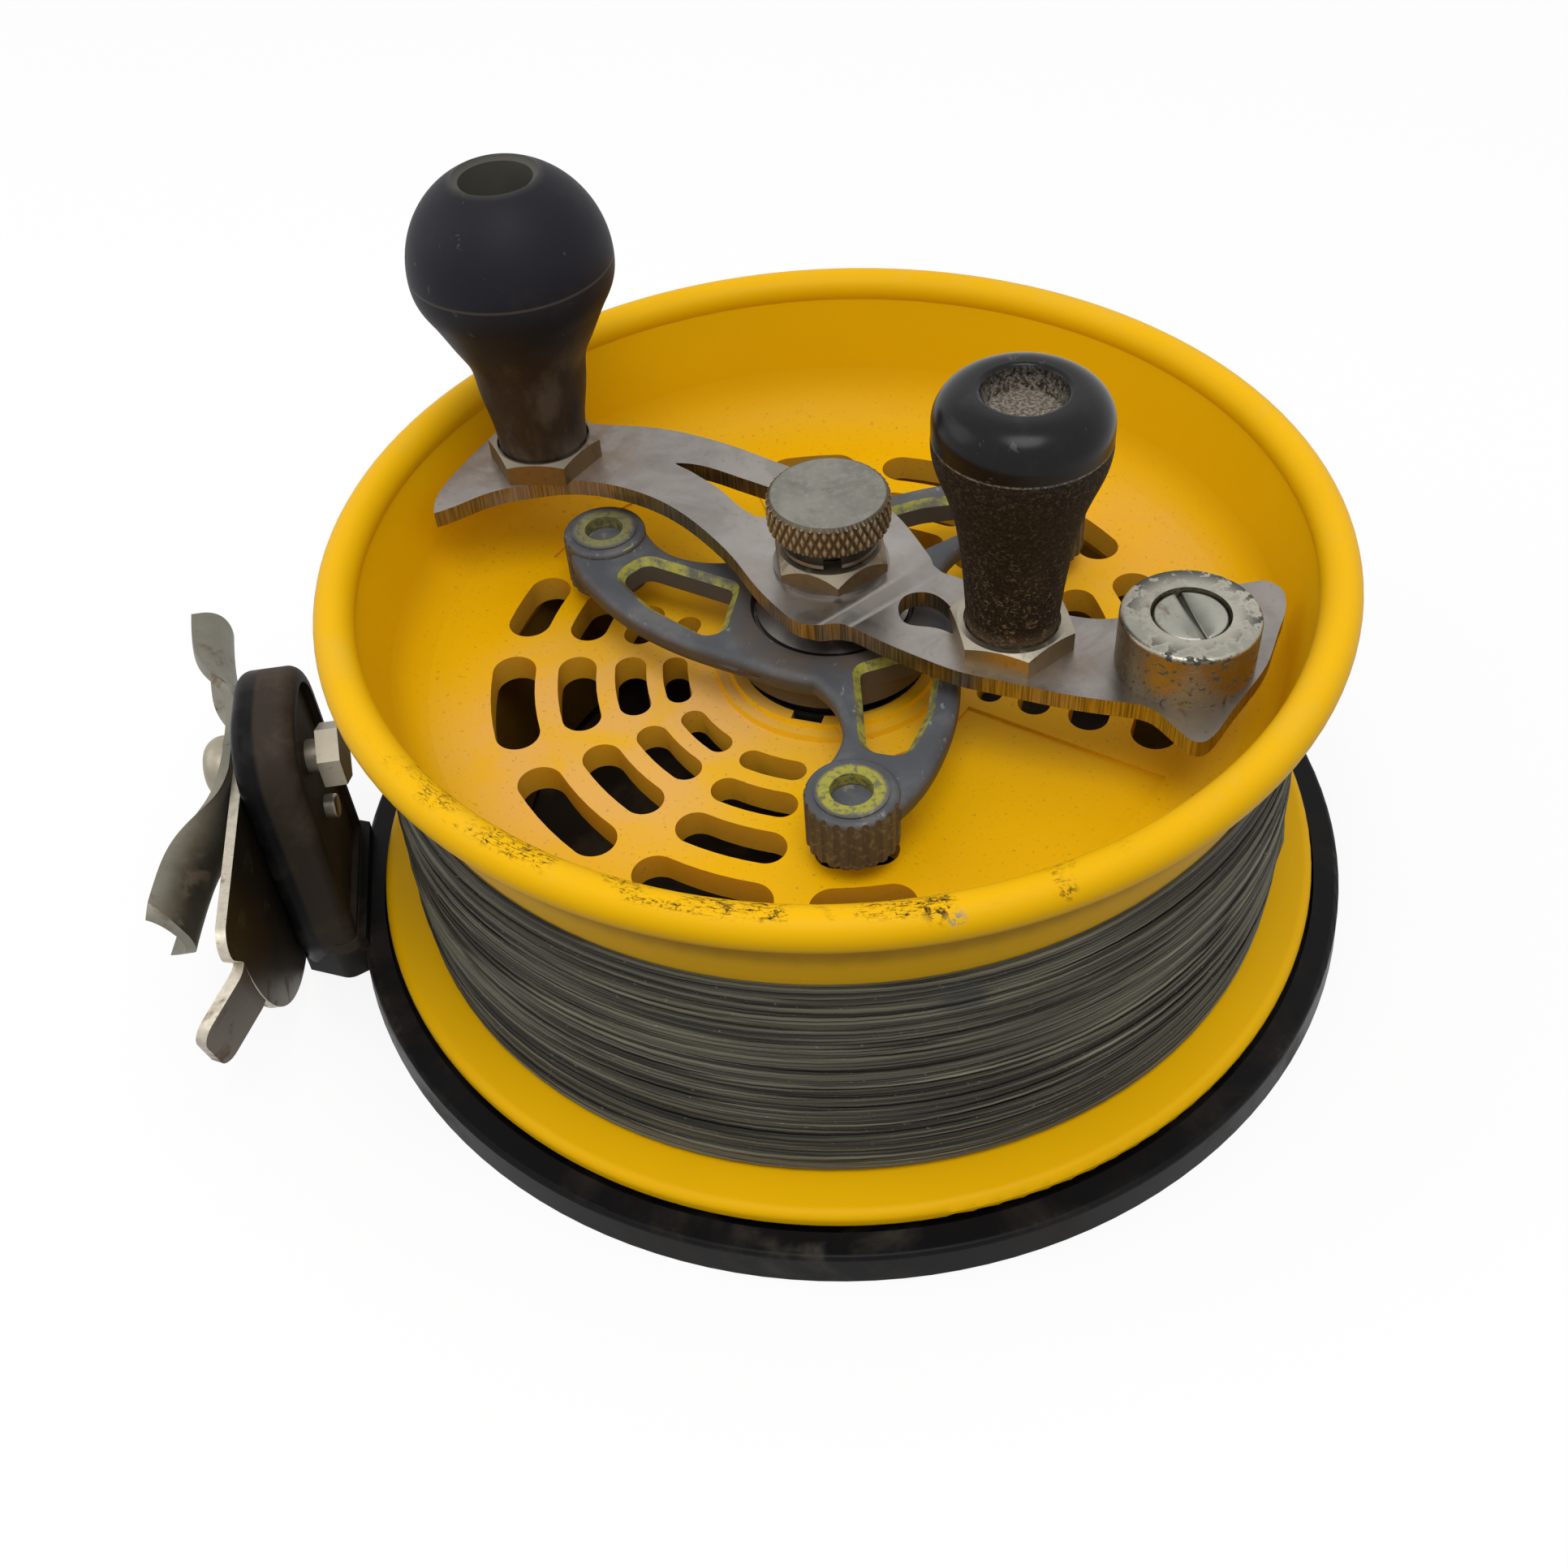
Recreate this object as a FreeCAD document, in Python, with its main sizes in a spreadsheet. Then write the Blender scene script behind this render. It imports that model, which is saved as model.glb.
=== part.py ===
"""Side cast surf fishing reel with a star drag, 165 mm across its front rim.

Millimetres, +Z along the spool's axis towards the angler's hand. The origin is on that axis, in the plane of the
back plate's rest face. The bracket for the rod stands at -X, and the rod lies along Y.
"""

import FreeCAD, Part
import math
import os
import re

import Sketcher

Vector = FreeCAD.Vector

# Driving dimensions. Each name is an alias in the sheet, and every piece takes its sizes from here.
SIZES = {
    # back plate
    "rim_gap": 0.7,
    "rim_flare": 0.6,
    "rim_height": 6.0,
    "rim_width": 4.4,
    "rim_round": 0.9,
    "plate_floor": 3.0,
    "boss_radius": 12.0,
    "boss_height": 10.0,
    "nut_pocket_radius": 8.0,
    "nut_pocket_depth": 4.4,
    # bracket on the back plate
    "bracket_inset": 0.4,
    "bracket_depth": 10.4,
    "bracket_half": 15.5,
    "bracket_head_half": 14.0,
    "bracket_height": 56.0,
    "bracket_arch": 12.0,
    "bracket_round": 2.4,
    "bracket_rim_depth": 1.2,
    "bracket_rim_width": 3.0,
    "ledge_bite": 2.0,
    "ledge_height": 9.0,
    "ledge_half": 14.0,
    "ledge_back_half": 12.5,
    "pivot_height": 41.0,
    "pivot_radius": 3.0,
    "detent_height": 28.5,
    "detent_radius": 2.2,
    # spindle and crank sleeve
    "spindle_radius": 3.5,
    "stud_radius": 3.0,
    "spindle_flange": 7.5,
    "flange_thickness": 1.5,
    "sleeve_radius": 6.0,
    "sleeve_neck": 5.0,
    "sleeve_flat": 4.4,
    "sleeve_collar": 9.6,
    "collar_thickness": 1.6,
    "shaft_clearance": 0.05,
    "running_gap": 0.2,
    "seat_gap": 0.1,
    # ratchet
    "ratchet_radius": 15.0,
    "ratchet_root": 12.5,
    "ratchet_thickness": 3.6,
    "pawl_reach": 26.0,
    "pawl_offset": 15.0,
    "pawl_thickness": 2.6,
    "pawl_gap": 0.35,
    "pin_radius": 2.0,
    "pin_head": 3.4,
    "post_radius": 4.6,
    "post_height": 7.6,
    "spring_radius": 3.1,
    "spring_wire": 0.35,
    "spring_pitch": 1.1,
    "spring_turns": 3.0,
    # spool
    "bead_ring": 79.3,
    "bead_radius": 3.2,
    "bead_height": 71.8,
    "lip_draft": 12.0,
    "lip_wall": 2.5,
    "bowl_corner": 13.0,
    "seam_angle": 39.0,
    "floor_height": 47.0,
    "floor_thickness": 5.0,
    "barrel_radius": 64.0,
    "barrel_wall": 4.0,
    "rear_flange_radius": 85.3,
    "rear_flange_low": 5.5,
    "rear_flange_thickness": 4.0,
    "rear_flange_round": 1.7,
    "hub_radius": 13.0,
    "hub_neck_height": 36.0,
    "hub_head_radius": 19.5,
    "hub_ring_radius": 20.6,
    "hub_ring_height": 0.9,
    "hub_step_radius": 18.4,
    "hub_step_height": 1.6,
    "recess_radius": 15.9,
    "recess_floor": 43.4,
    "web_thickness": 2.4,
    "web_low": 24.0,
    "web_turn": 13.0,
    "panel_depth": 0.5,
    "panel_inner": 25.5,
    "panel_outer": 60.0,
    "panel_angle": 21.5,
    "panel_centre": 299.25,
    # bushes
    "bush_radius": 8.5,
    "bush_flange": 10.5,
    "bush_flange_thickness": 1.0,
    "bush_length": 10.0,
    # drag stack
    "drag_disc_radius": 15.4,
    "drag_disc_thickness": 1.2,
    "ear_radius": 17.3,
    "ear_width": 5.0,
    "ear_turn": 65.0,
    "washer_bore_gap": 0.6,
    "friction_thickness": 1.0,
    "pressure_thickness": 1.2,
    "stack_radius": 14.3,
    "spring_dish": 0.9,
    "spring_sheet": 0.9,
    "thrust_thickness": 1.1,
    "thrust_radius": 13.6,
    "seal_width": 0.9,
    "seal_height": 1.3,
    # star wheel
    "star_reach": 44.5,
    "star_turn": 24.3,
    "star_tip_radius": 7.2,
    "star_thickness": 8.2,
    "star_arm": 4.6,
    "star_under": 2.2,
    "star_barrel": 17.2,
    "star_tip_rise": 1.0,
    "star_tip_drop": 0.4,
    "star_tip_edge": 0.9,
    "star_hub_radius": 9.5,
    "star_seat_radius": 13.2,
    "star_seat_depth": 1.4,
    "star_bevel": 1.2,
    "star_edge": 1.4,
    "star_dimple_radius": 3.3,
    "star_dimple_depth": 2.4,
    "star_ring_radius": 5.7,
    "star_ring_height": 0.3,
    "flute_radius": 0.75,
    "dome_radius": 12.7,
    "dome_thickness": 1.1,
    "dome_rise": 1.3,
    "star_lift": 0.75,
    # handle plate
    "plate_collar_radius": 9.2,
    "handle_top": 68.05,
    "handle_thickness": 3.0,
    "handle_step": 1.7,
    "bend_distance": 10.4,
    "bend_run": 2.4,
    "bend_turn": -59.0,
    "lock_washer_radius": 9.4,
    "lock_washer_thickness": 0.7,
    "hub_nut_flats": 17.1,
    "hub_nut_height": 3.3,
    "hub_nut_turn": 27.8,
    "hub_nut_chamfer": 2.25,
    "nut_chamfer": 0.9,
    "nut_edge": 0.2,
    "sleeve_stand": 0.45,
    "retainer_radius": 7.8,
    "retainer_thickness": 0.7,
    "retainer_mouth": 2.9,
    "retainer_turn": -96.0,
    # knurled knob on the spindle's tip
    "cap_knob_radius": 9.95,
    "cap_knob_height": 8.3,
    "cap_knob_neck": 5.6,
    "cap_knob_stand": 2.4,
    "cap_knob_chamfer": 0.7,
    "cap_knob_roof": 0.8,
    # knob axles and nuts
    "axle_radius": 3.5,
    "axle_shank": 4.0,
    "axle_foot_radius": 6.0,
    "axle_foot_height": 1.2,
    "axle_head_radius": 5.0,
    "axle_head_height": 2.2,
    "knob_nut_flats": 17.2,
    "knob_nut_height": 4.1,
    "knob_nut_cup": 1.9,
    "knob_cup_gap": 0.35,
    # ball knob
    "ball_x": -44.4,
    "ball_y": 39.6,
    "ball_nut_turn": 47.6,
    "ball_radius": 16.7,
    "ball_centre": 105.3,
    "ball_neck_radius": 9.7,
    "ball_neck_height": 89.1,
    "ball_foot_radius": 7.7,
    "ball_foot_rise": 2.2,
    "ball_mouth": 5.9,
    "ball_seat": 109.4,
    # tapered knob
    "taper_x": 24.6,
    "taper_y": -22.0,
    "taper_nut_turn": 31.0,
    "taper_foot_radius": 7.1,
    "taper_waist_radius": 8.3,
    "taper_waist_height": 84.0,
    "taper_flare_radius": 12.4,
    "taper_flare_height": 99.8,
    "cap_radius": 12.8,
    "cap_low": 103.8,
    "cap_top": 111.2,
    "cap_corner": 5.2,
    "cap_mouth": 6.1,
    "cap_mouth_depth": 3.8,
    "taper_seat": 99.8,
    # counterweight
    "weight_x": 48.9,
    "weight_y": -32.4,
    "weight_radius": 10.5,
    "weight_height": 9.3,
    "weight_chamfer": 0.8,
    "weight_cup_radius": 6.0,
    "weight_cup_depth": 2.6,
    "weight_screw_head": 5.5,
    "weight_screw_sink": 0.4,
    "weight_screw_radius": 3.0,
    "weight_screw_tail": 1.0,
    "slot_width": 1.2,
    "slot_depth": 0.9,
    # foot and swivel plate
    "swivel_gap": 0.2,
    "swivel_sheet": 1.6,
    "swivel_radius": 38.5,
    "swivel_top": 45.5,
    "swivel_front": 20.0,
    "swivel_back": 46.0,
    "swivel_heel": 9.0,
    "tab_angle": 197.0,
    "tab_width": 13.0,
    "tab_reach": 51.0,
    "tab_flare": 6.5,
    "tab_corner": 3.0,
    "foot_sheet": 1.6,
    "foot_low": 33.0,
    "foot_high": 47.6,
    "foot_reach": 37.5,
    "foot_corner": 5.5,
    "foot_corner_low": 9.0,
    "pivot_head_flats": 10.0,
    "pivot_head_height": 3.8,
    "pivot_dome_radius": 5.6,
    "pivot_dome_height": 4.2,
    "pivot_dome_gap": 0.2,
    # wound line
    "line_clearance": 0.2,
    "line_rear_radius": 77.9,
    "line_front_radius": 76.2,
    "line_cord": 1.5,
    "line_neck": 1.5,
    "line_turns": 10.0,
    "line_margin": 2.4,
}

# Fixed counts and outlines that no single size drives.
RATCHET_TEETH = 12
SLOT_RINGS = ((25.3, 29.6), (32.4, 37.8), (41.0, 47.6), (51.5, 59.0))
SLOT_ROWS = ((-55.5, 17.0), (-29.5, 24.0), (0.0, 24.0), (29.5, 24.0), (55.5, 17.0))
SLOT_CENTRE = 209.5
FLUTES = 11
FLUTE_STEP = 17.0

doc = FreeCAD.newDocument("surf_fishing_reel")
sheet = doc.addObject("Spreadsheet::Sheet", "sizes")
for row, (alias, value) in enumerate(SIZES.items(), start=1):
    sheet.set(f"A{row}", alias)
    sheet.set(f"B{row}", str(value))
    sheet.setAlias(f"B{row}", alias)
doc.recompute()


def bound(formula):
    """The formula with each size written as its cell in the sheet."""
    return re.sub(r"[a-z]\w+", lambda word: f"sizes.{word.group()}" if word.group() in SIZES else word.group(), formula)


def value_of(formula):
    """The number that a formula of sizes gives now."""
    result = sheet.evalExpression(bound(str(formula)))
    return float(getattr(result, "Value", result))


def polar(radius, degrees):
    angle = math.radians(degrees)
    return radius * math.cos(angle), radius * math.sin(angle)


def turned(points, degrees):
    """Plane points turned about the origin."""
    c = math.cos(math.radians(degrees))
    s = math.sin(math.radians(degrees))
    return [(x * c - y * s, x * s + y * c) for x, y in points]


# Bodies, sketches and features.

def new_body(label, x="0", y="0", z="0", turn="0"):
    """A body with its place and its turn about Z bound to the sheet."""
    body = doc.addObject("PartDesign::Body", label)
    body.Label = label
    for axis, formula in zip("xyz", (x, y, z)):
        body.setExpression(f"Placement.Base.{axis}", bound(formula))
    body.Placement.Rotation = FreeCAD.Rotation(Vector(0, 0, 1), value_of(turn))
    body.setExpression("Placement.Rotation.Angle", bound(turn))
    return body


def new_sketch(body, plane, lift="0"):
    """A sketch on one of the body's own origin planes, lifted along the plane's normal."""
    sketch = body.newObject("Sketcher::SketchObject", "outline")
    support = next(item for item in body.Origin.OriginFeatures if item.Role == plane)
    sketch.AttachmentSupport = [(support, "")]
    sketch.MapMode = "FlatFace"
    sketch.setExpression("AttachmentOffset.Base.z", bound(lift))
    return sketch


def draw_corners(sketch, corners):
    """Closed outline through corners (x, y) or (x, y, rounding), all bound to the sheet."""
    spots = [Vector(value_of(c[0]), value_of(c[1]), 0) for c in corners]
    rounds = [value_of(c[2]) if len(c) > 2 else 0.0 for c in corners]
    count = len(spots)
    entry, leave = [], []
    for i, spot in enumerate(spots):
        back = (spots[i - 1] - spot).normalize()
        ahead = (spots[(i + 1) % count] - spot).normalize()
        half = back.getAngle(ahead) / 2
        cut = rounds[i] / math.tan(half) if rounds[i] else 0.0
        entry.append(spot + back * cut)
        leave.append(spot + ahead * cut)
    first = sketch.GeometryCount
    for i in range(count):
        sketch.addGeometry(Part.LineSegment(leave[i], entry[(i + 1) % count]), False)
    for i, corner in enumerate(corners):
        before, after = first + (i - 1) % count, first + i
        if not rounds[i]:
            sketch.addConstraint(Sketcher.Constraint("Coincident", before, 2, after, 1))
            pin_point(sketch, after, 1, corner)
            continue
        arc, start, end = draw_round(sketch, spots[i], entry[i], leave[i], rounds[i])
        sketch.addConstraint(Sketcher.Constraint("Tangent", before, 2, arc, start))
        sketch.addConstraint(Sketcher.Constraint("Tangent", after, 1, arc, end))
        bind_datum(sketch, Sketcher.Constraint("Radius", arc, rounds[i]), corner[2])
        mark = sketch.addGeometry(Part.Point(spots[i]), True)
        pin_point(sketch, mark, 1, corner)
        sketch.addConstraint(Sketcher.Constraint("PointOnObject", mark, 1, before))
        sketch.addConstraint(Sketcher.Constraint("PointOnObject", mark, 1, after))


def draw_round(sketch, corner, start, end, radius):
    """The arc that rounds a corner, with the number of its point at each end of the way round."""
    middle = (start + end) / 2
    towards = (middle - corner).normalize()
    half = (start - corner).getAngle(end - corner) / 2
    centre = corner + towards * (radius / math.sin(half))
    first = math.atan2(start.y - centre.y, start.x - centre.x)
    last = math.atan2(end.y - centre.y, end.x - centre.x)
    left = (corner - start).cross(end - corner).z > 0
    if not left:
        first, last = last, first
    arc = sketch.addGeometry(Part.ArcOfCircle(Part.Circle(centre, Vector(0, 0, 1), radius), first, last), False)
    return (arc, 1, 2) if left else (arc, 2, 1)


def bind_datum(sketch, constraint, formula):
    number = sketch.addConstraint(constraint)
    sketch.setExpression(f"Constraints[{number}]", bound(str(formula)))


def pin_point(sketch, geometry, point, corner):
    """Holds one point of the sketch at its two formulas."""
    for kind, formula in zip(("DistanceX", "DistanceY"), corner):
        bind_datum(sketch, Sketcher.Constraint(kind, -1, 1, geometry, point, value_of(formula)), formula)


def draw_circle(sketch, x, y, radius):
    spot = Vector(value_of(x), value_of(y), 0)
    circle = sketch.addGeometry(Part.Circle(spot, Vector(0, 0, 1), value_of(radius)), False)
    pin_point(sketch, circle, 3, (x, y))
    bind_datum(sketch, Sketcher.Constraint("Radius", circle, value_of(radius)), radius)


def add_feature(body, kind, sketch, **settings):
    """A sketch based feature. Text settings are formulas of the sheet."""
    feature = body.newObject(f"PartDesign::{kind}", kind.lower())
    feature.Profile = sketch
    for name, setting in settings.items():
        if isinstance(setting, str) and name in ("Length", "Length2", "Angle", "TaperAngle"):
            feature.setExpression(name, bound(setting))
        else:
            setattr(feature, name, setting)
    sketch.Visibility = False
    return feature


def spin(body, corners, groove=False):
    """Turned form about Z from a half section of (radius, height) corners."""
    sketch = new_sketch(body, "XZ_Plane")
    draw_corners(sketch, corners)
    feature = add_feature(body, "Groove" if groove else "Revolution", sketch, Angle=360.0)
    feature.ReferenceAxis = (sketch, ["V_Axis"])
    return feature


def turned_piece(label, corners, **place):
    body = new_body(label, **place)
    spin(body, corners)
    return body


def through_cut(body, sketch, both=True):
    """Pocket through everything that the outline meets."""
    feature = add_feature(body, "Pocket", sketch, Type="ThroughAll")
    feature.Midplane = both
    return feature


def round_pattern(body, features, occurrences):
    """Repeats features about the body's Z axis."""
    pattern = body.newObject("PartDesign::PolarPattern", "pattern")
    pattern.Originals = features
    pattern.Axis = (next(item for item in body.Origin.OriginFeatures if item.Role == "Z_Axis"), [""])
    pattern.Angle = 360.0
    pattern.Occurrences = occurrences
    body.Tip = pattern
    return pattern


def edges_where(shape, test):
    """Names of the edges whose middle and ends pass the test."""
    names = []
    for number, edge in enumerate(shape.Edges, start=1):
        middle = edge.valueAt((edge.FirstParameter + edge.LastParameter) / 2)
        if test(middle, edge):
            names.append(f"Edge{number}")
    return names


def dress(body, kind, test, size):
    """Fillet or Chamfer on the edges of the body's tip that pass the test."""
    doc.recompute()
    base = body.Tip
    names = edges_where(base.Shape, test)
    feature = body.newObject(f"PartDesign::{kind}", kind.lower())
    feature.Base = (base, names)
    feature.setExpression("Radius" if kind == "Fillet" else "Size", bound(size))
    doc.recompute()
    return feature


def hexagon(flats):
    """Corners of a hexagon with two corners on the x axis."""
    reach = f"{flats} * 0.57735"
    half = f"{flats} * 0.288675"
    side = f"{flats} / 2"
    return [
        (reach, "0"),
        (half, side),
        (f"-{half}", side),
        (f"-{reach}", "0"),
        (f"-{half}", f"-{side}"),
        (half, f"-{side}"),
    ]


def hex_piece(label, flats, low, height, bore, chamfer="nut_chamfer", **place):
    """Hexagon nut with a bore and a turned chamfer at its top."""
    body = new_body(label, **place)
    sketch = new_sketch(body, "XY_Plane", low)
    draw_corners(sketch, hexagon(flats))
    draw_circle(sketch, "0", "0", bore)
    add_feature(body, "Pad", sketch, Length=height)
    top = f"{low} + {height}"
    past = f"{flats} * 0.6"
    spin(
        body,
        [(f"{flats} / 2 - nut_edge", top), (past, top), (past, f"{top} - {chamfer}")],
        groove=True,
    )
    return body


# Heights that stack up along the spindle.
SLEEVE_LOW = "boss_height + flange_thickness + running_gap"
RATCHET_LOW = "boss_height + flange_thickness + 2 * running_gap"
RATCHET_TOP = f"{RATCHET_LOW} + ratchet_thickness"
COLLAR_TOP = f"{RATCHET_TOP} + collar_thickness"
DISC_TOP = "recess_floor + drag_disc_thickness"
FRICTION_TOP = f"{DISC_TOP} + friction_thickness"
PRESSURE_TOP = f"{FRICTION_TOP} + pressure_thickness"
SPRING_TOP = f"{PRESSURE_TOP} + 2 * spring_dish + 2 * spring_sheet"
THRUST_TOP = f"{SPRING_TOP} + thrust_thickness"
STAR_TOP = f"{THRUST_TOP} + star_thickness"
DOME_TOP = f"{STAR_TOP} - star_seat_depth + dome_thickness + dome_rise"
NECK_LOW = f"{DOME_TOP} + star_lift + running_gap"
PLATE_LOW = "handle_top - handle_thickness"
LOCK_TOP = "handle_top + lock_washer_thickness"
NUT_TOP = f"{LOCK_TOP} + hub_nut_height"
SLEEVE_TOP = f"{NUT_TOP} + sleeve_stand"
RETAINER_LOW = f"{SLEEVE_TOP} + running_gap"
RETAINER_TOP = f"{RETAINER_LOW} + retainer_thickness"
KNOB_LOW = f"{RETAINER_TOP} + seat_gap"
RIGHT_TOP = "handle_top - handle_step"
BORE = "sleeve_radius + shaft_clearance"

# Distances from the axis to the rim of the back plate and to the two faces of its bracket.
RIM_RADIUS = "(rear_flange_radius + rim_gap + rim_width)"
BRACKET_INNER = f"({RIM_RADIUS} - bracket_inset)"
BRACKET_OUTER = f"({BRACKET_INNER} + bracket_depth)"
SWIVEL_OUTER = f"({BRACKET_OUTER} + swivel_gap + swivel_sheet)"


# Frame: back plate with its bracket, spindle and fasteners.

def make_back_plate():
    body = new_body("back_plate")
    arch = new_sketch(body, "YZ_Plane", f"-{BRACKET_OUTER}")
    draw_corners(
        arch,
        [
            ("-ledge_back_half", "0"),
            ("ledge_back_half", "0"),
            ("bracket_half", "ledge_height", "6"),
            ("bracket_head_half", "bracket_height", "bracket_arch"),
            ("-bracket_head_half", "bracket_height", "bracket_arch"),
            ("-bracket_half", "ledge_height", "6"),
        ],
    )
    add_feature(body, "Pad", arch, Length="bracket_depth")
    faces = value_of(BRACKET_INNER), value_of(BRACKET_OUTER)

    def arch_edge(middle, edge):
        return middle.z > 0.1 and min(abs(middle.x + face) for face in faces) < 0.01

    dress(body, "Fillet", arch_edge, "bracket_round")
    spin(
        body,
        [
            ("nut_pocket_radius", "0"),
            (f"{RIM_RADIUS} + rim_flare", "0"),
            (RIM_RADIUS, "rim_height", "rim_round"),
            (f"{RIM_RADIUS} - rim_width", "rim_height"),
            (f"{RIM_RADIUS} - rim_width", "plate_floor"),
            ("boss_radius", "plate_floor"),
            ("boss_radius", "boss_height"),
            ("stud_radius", "boss_height"),
            ("stud_radius", "nut_pocket_depth"),
            ("nut_pocket_radius", "nut_pocket_depth"),
        ],
    )
    post = new_sketch(body, "XY_Plane", "plate_floor")
    draw_circle(post, "pawl_offset", "-pawl_reach", "post_radius")
    add_feature(body, "Pad", post, Length="post_height - plate_floor")
    ledge = new_sketch(body, "XY_Plane")
    draw_corners(
        ledge,
        [
            (f"-({RIM_RADIUS} - ledge_bite)", "-ledge_half"),
            (f"-({RIM_RADIUS} - ledge_bite)", "ledge_half"),
            (f"-({BRACKET_INNER} + 3)", "bracket_half + 0.5", "3"),
            (f"-{BRACKET_OUTER}", "ledge_back_half"),
            (f"-{BRACKET_OUTER}", "-ledge_back_half"),
            (f"-({BRACKET_INNER} + 3)", "-(bracket_half + 0.5)", "3"),
        ],
    )
    add_feature(body, "Pad", ledge, Length="ledge_height")
    panel = new_sketch(body, "YZ_Plane", f"-{BRACKET_INNER}")
    inset = "bracket_rim_width"
    draw_corners(
        panel,
        [
            (f"-(bracket_half - {inset})", "ledge_height + 1"),
            (f"bracket_half - {inset}", "ledge_height + 1"),
            (f"bracket_head_half - {inset}", f"bracket_height - {inset}", f"bracket_arch - {inset}"),
            (f"-(bracket_head_half - {inset})", f"bracket_height - {inset}", f"bracket_arch - {inset}"),
        ],
    )
    add_feature(body, "Pocket", panel, Length="bracket_rim_depth")
    holes = new_sketch(body, "YZ_Plane", f"-{BRACKET_INNER}")
    draw_circle(holes, "0", "pivot_height", "pivot_radius")
    draw_circle(holes, "0", "detent_height", "detent_radius")
    add_feature(body, "Pocket", holes, Length="bracket_depth")
    pin = new_sketch(body, "XY_Plane", "post_height")
    draw_circle(pin, "pawl_offset", "-pawl_reach", "pin_radius")
    add_feature(body, "Pocket", pin, Length="post_height - plate_floor")
    return body


def make_spindle():
    flange_top = "boss_height + flange_thickness"
    tip = f"{KNOB_LOW} + cap_knob_height - cap_knob_roof - running_gap"
    return turned_piece(
        "spindle",
        [
            ("0", "0"),
            ("stud_radius", "0"),
            ("stud_radius", "boss_height"),
            ("spindle_flange", "boss_height"),
            ("spindle_flange", flange_top),
            ("spindle_radius", flange_top),
            ("spindle_radius", RETAINER_TOP),
            ("stud_radius", RETAINER_TOP),
            ("stud_radius", tip),
            ("0", tip),
        ],
    )


def washer(label, inner, outer, low, high, **place):
    return turned_piece(label, [(inner, low), (outer, low), (outer, high), (inner, high)], **place)


def make_frame_fasteners():
    nut = hex_piece("spindle_nut", "pivot_head_flats", "0.8", "nut_pocket_depth - 1.4", "stud_radius")
    flat = washer("spindle_washer", "stud_radius", "nut_pocket_radius - 1", "nut_pocket_depth - 0.6", "nut_pocket_depth")
    retainer = washer("retaining_washer", "spindle_radius", "retainer_radius", RETAINER_LOW, RETAINER_TOP,
                      turn="retainer_turn")
    mouth = new_sketch(retainer, "XY_Plane", RETAINER_LOW)
    half = "retainer_mouth / 2"
    draw_corners(mouth, [("0", f"-{half}"), ("retainer_radius + 1", f"-{half}"), ("retainer_radius + 1", half), ("0", half)])
    add_feature(retainer, "Pocket", mouth, Length="retainer_thickness", Reversed=True)
    return [nut, flat, retainer]


def lie_along_x(body):
    """Turns a piece so that its own Z axis points to -X, away from the spool."""
    body.setExpression("Placement.Rotation.Angle", None)
    body.Placement.Rotation = FreeCAD.Rotation(Vector(0, 1, 0), -90)


def make_pivot():
    """Hex bolt through the bracket, and the dome nut that holds the foot on it."""
    head_top = f"{BRACKET_INNER} - bracket_rim_depth"
    bolt = new_body("pivot_bolt", z="pivot_height")
    lie_along_x(bolt)
    sketch = new_sketch(bolt, "XY_Plane", f"{head_top} - pivot_head_height")
    draw_corners(sketch, hexagon("pivot_head_flats"))
    add_feature(bolt, "Pad", sketch, Length="pivot_head_height")
    end = f"{SWIVEL_OUTER} + foot_sheet + pivot_dome_height / 2"
    spin(
        bolt,
        [("0", head_top), ("pivot_radius", head_top), ("pivot_radius", end), ("0", end)],
    )
    seat = f"{SWIVEL_OUTER} + foot_sheet + pivot_dome_gap"
    dome = turned_piece(
        "pivot_nut",
        [
            ("0", f"{end}"),
            ("pivot_radius", end),
            ("pivot_radius", seat),
            ("pivot_dome_radius", seat),
            ("pivot_dome_radius", f"{seat} + pivot_dome_height", "pivot_dome_height * 0.8"),
            ("0", f"{seat} + pivot_dome_height"),
        ],
        z="pivot_height",
    )
    lie_along_x(dome)
    screw = turned_piece(
        "detent_screw",
        [
            ("0", f"{BRACKET_INNER} - 1"),
            ("detent_radius", f"{BRACKET_INNER} - 1", "0.6"),
            ("detent_radius", BRACKET_OUTER),
            ("0", BRACKET_OUTER),
        ],
        z="detent_height",
    )
    lie_along_x(screw)
    return [bolt, dome, screw]


# Foot that clamps to the rod, on a plate that swings about the bracket's bolt.

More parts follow.
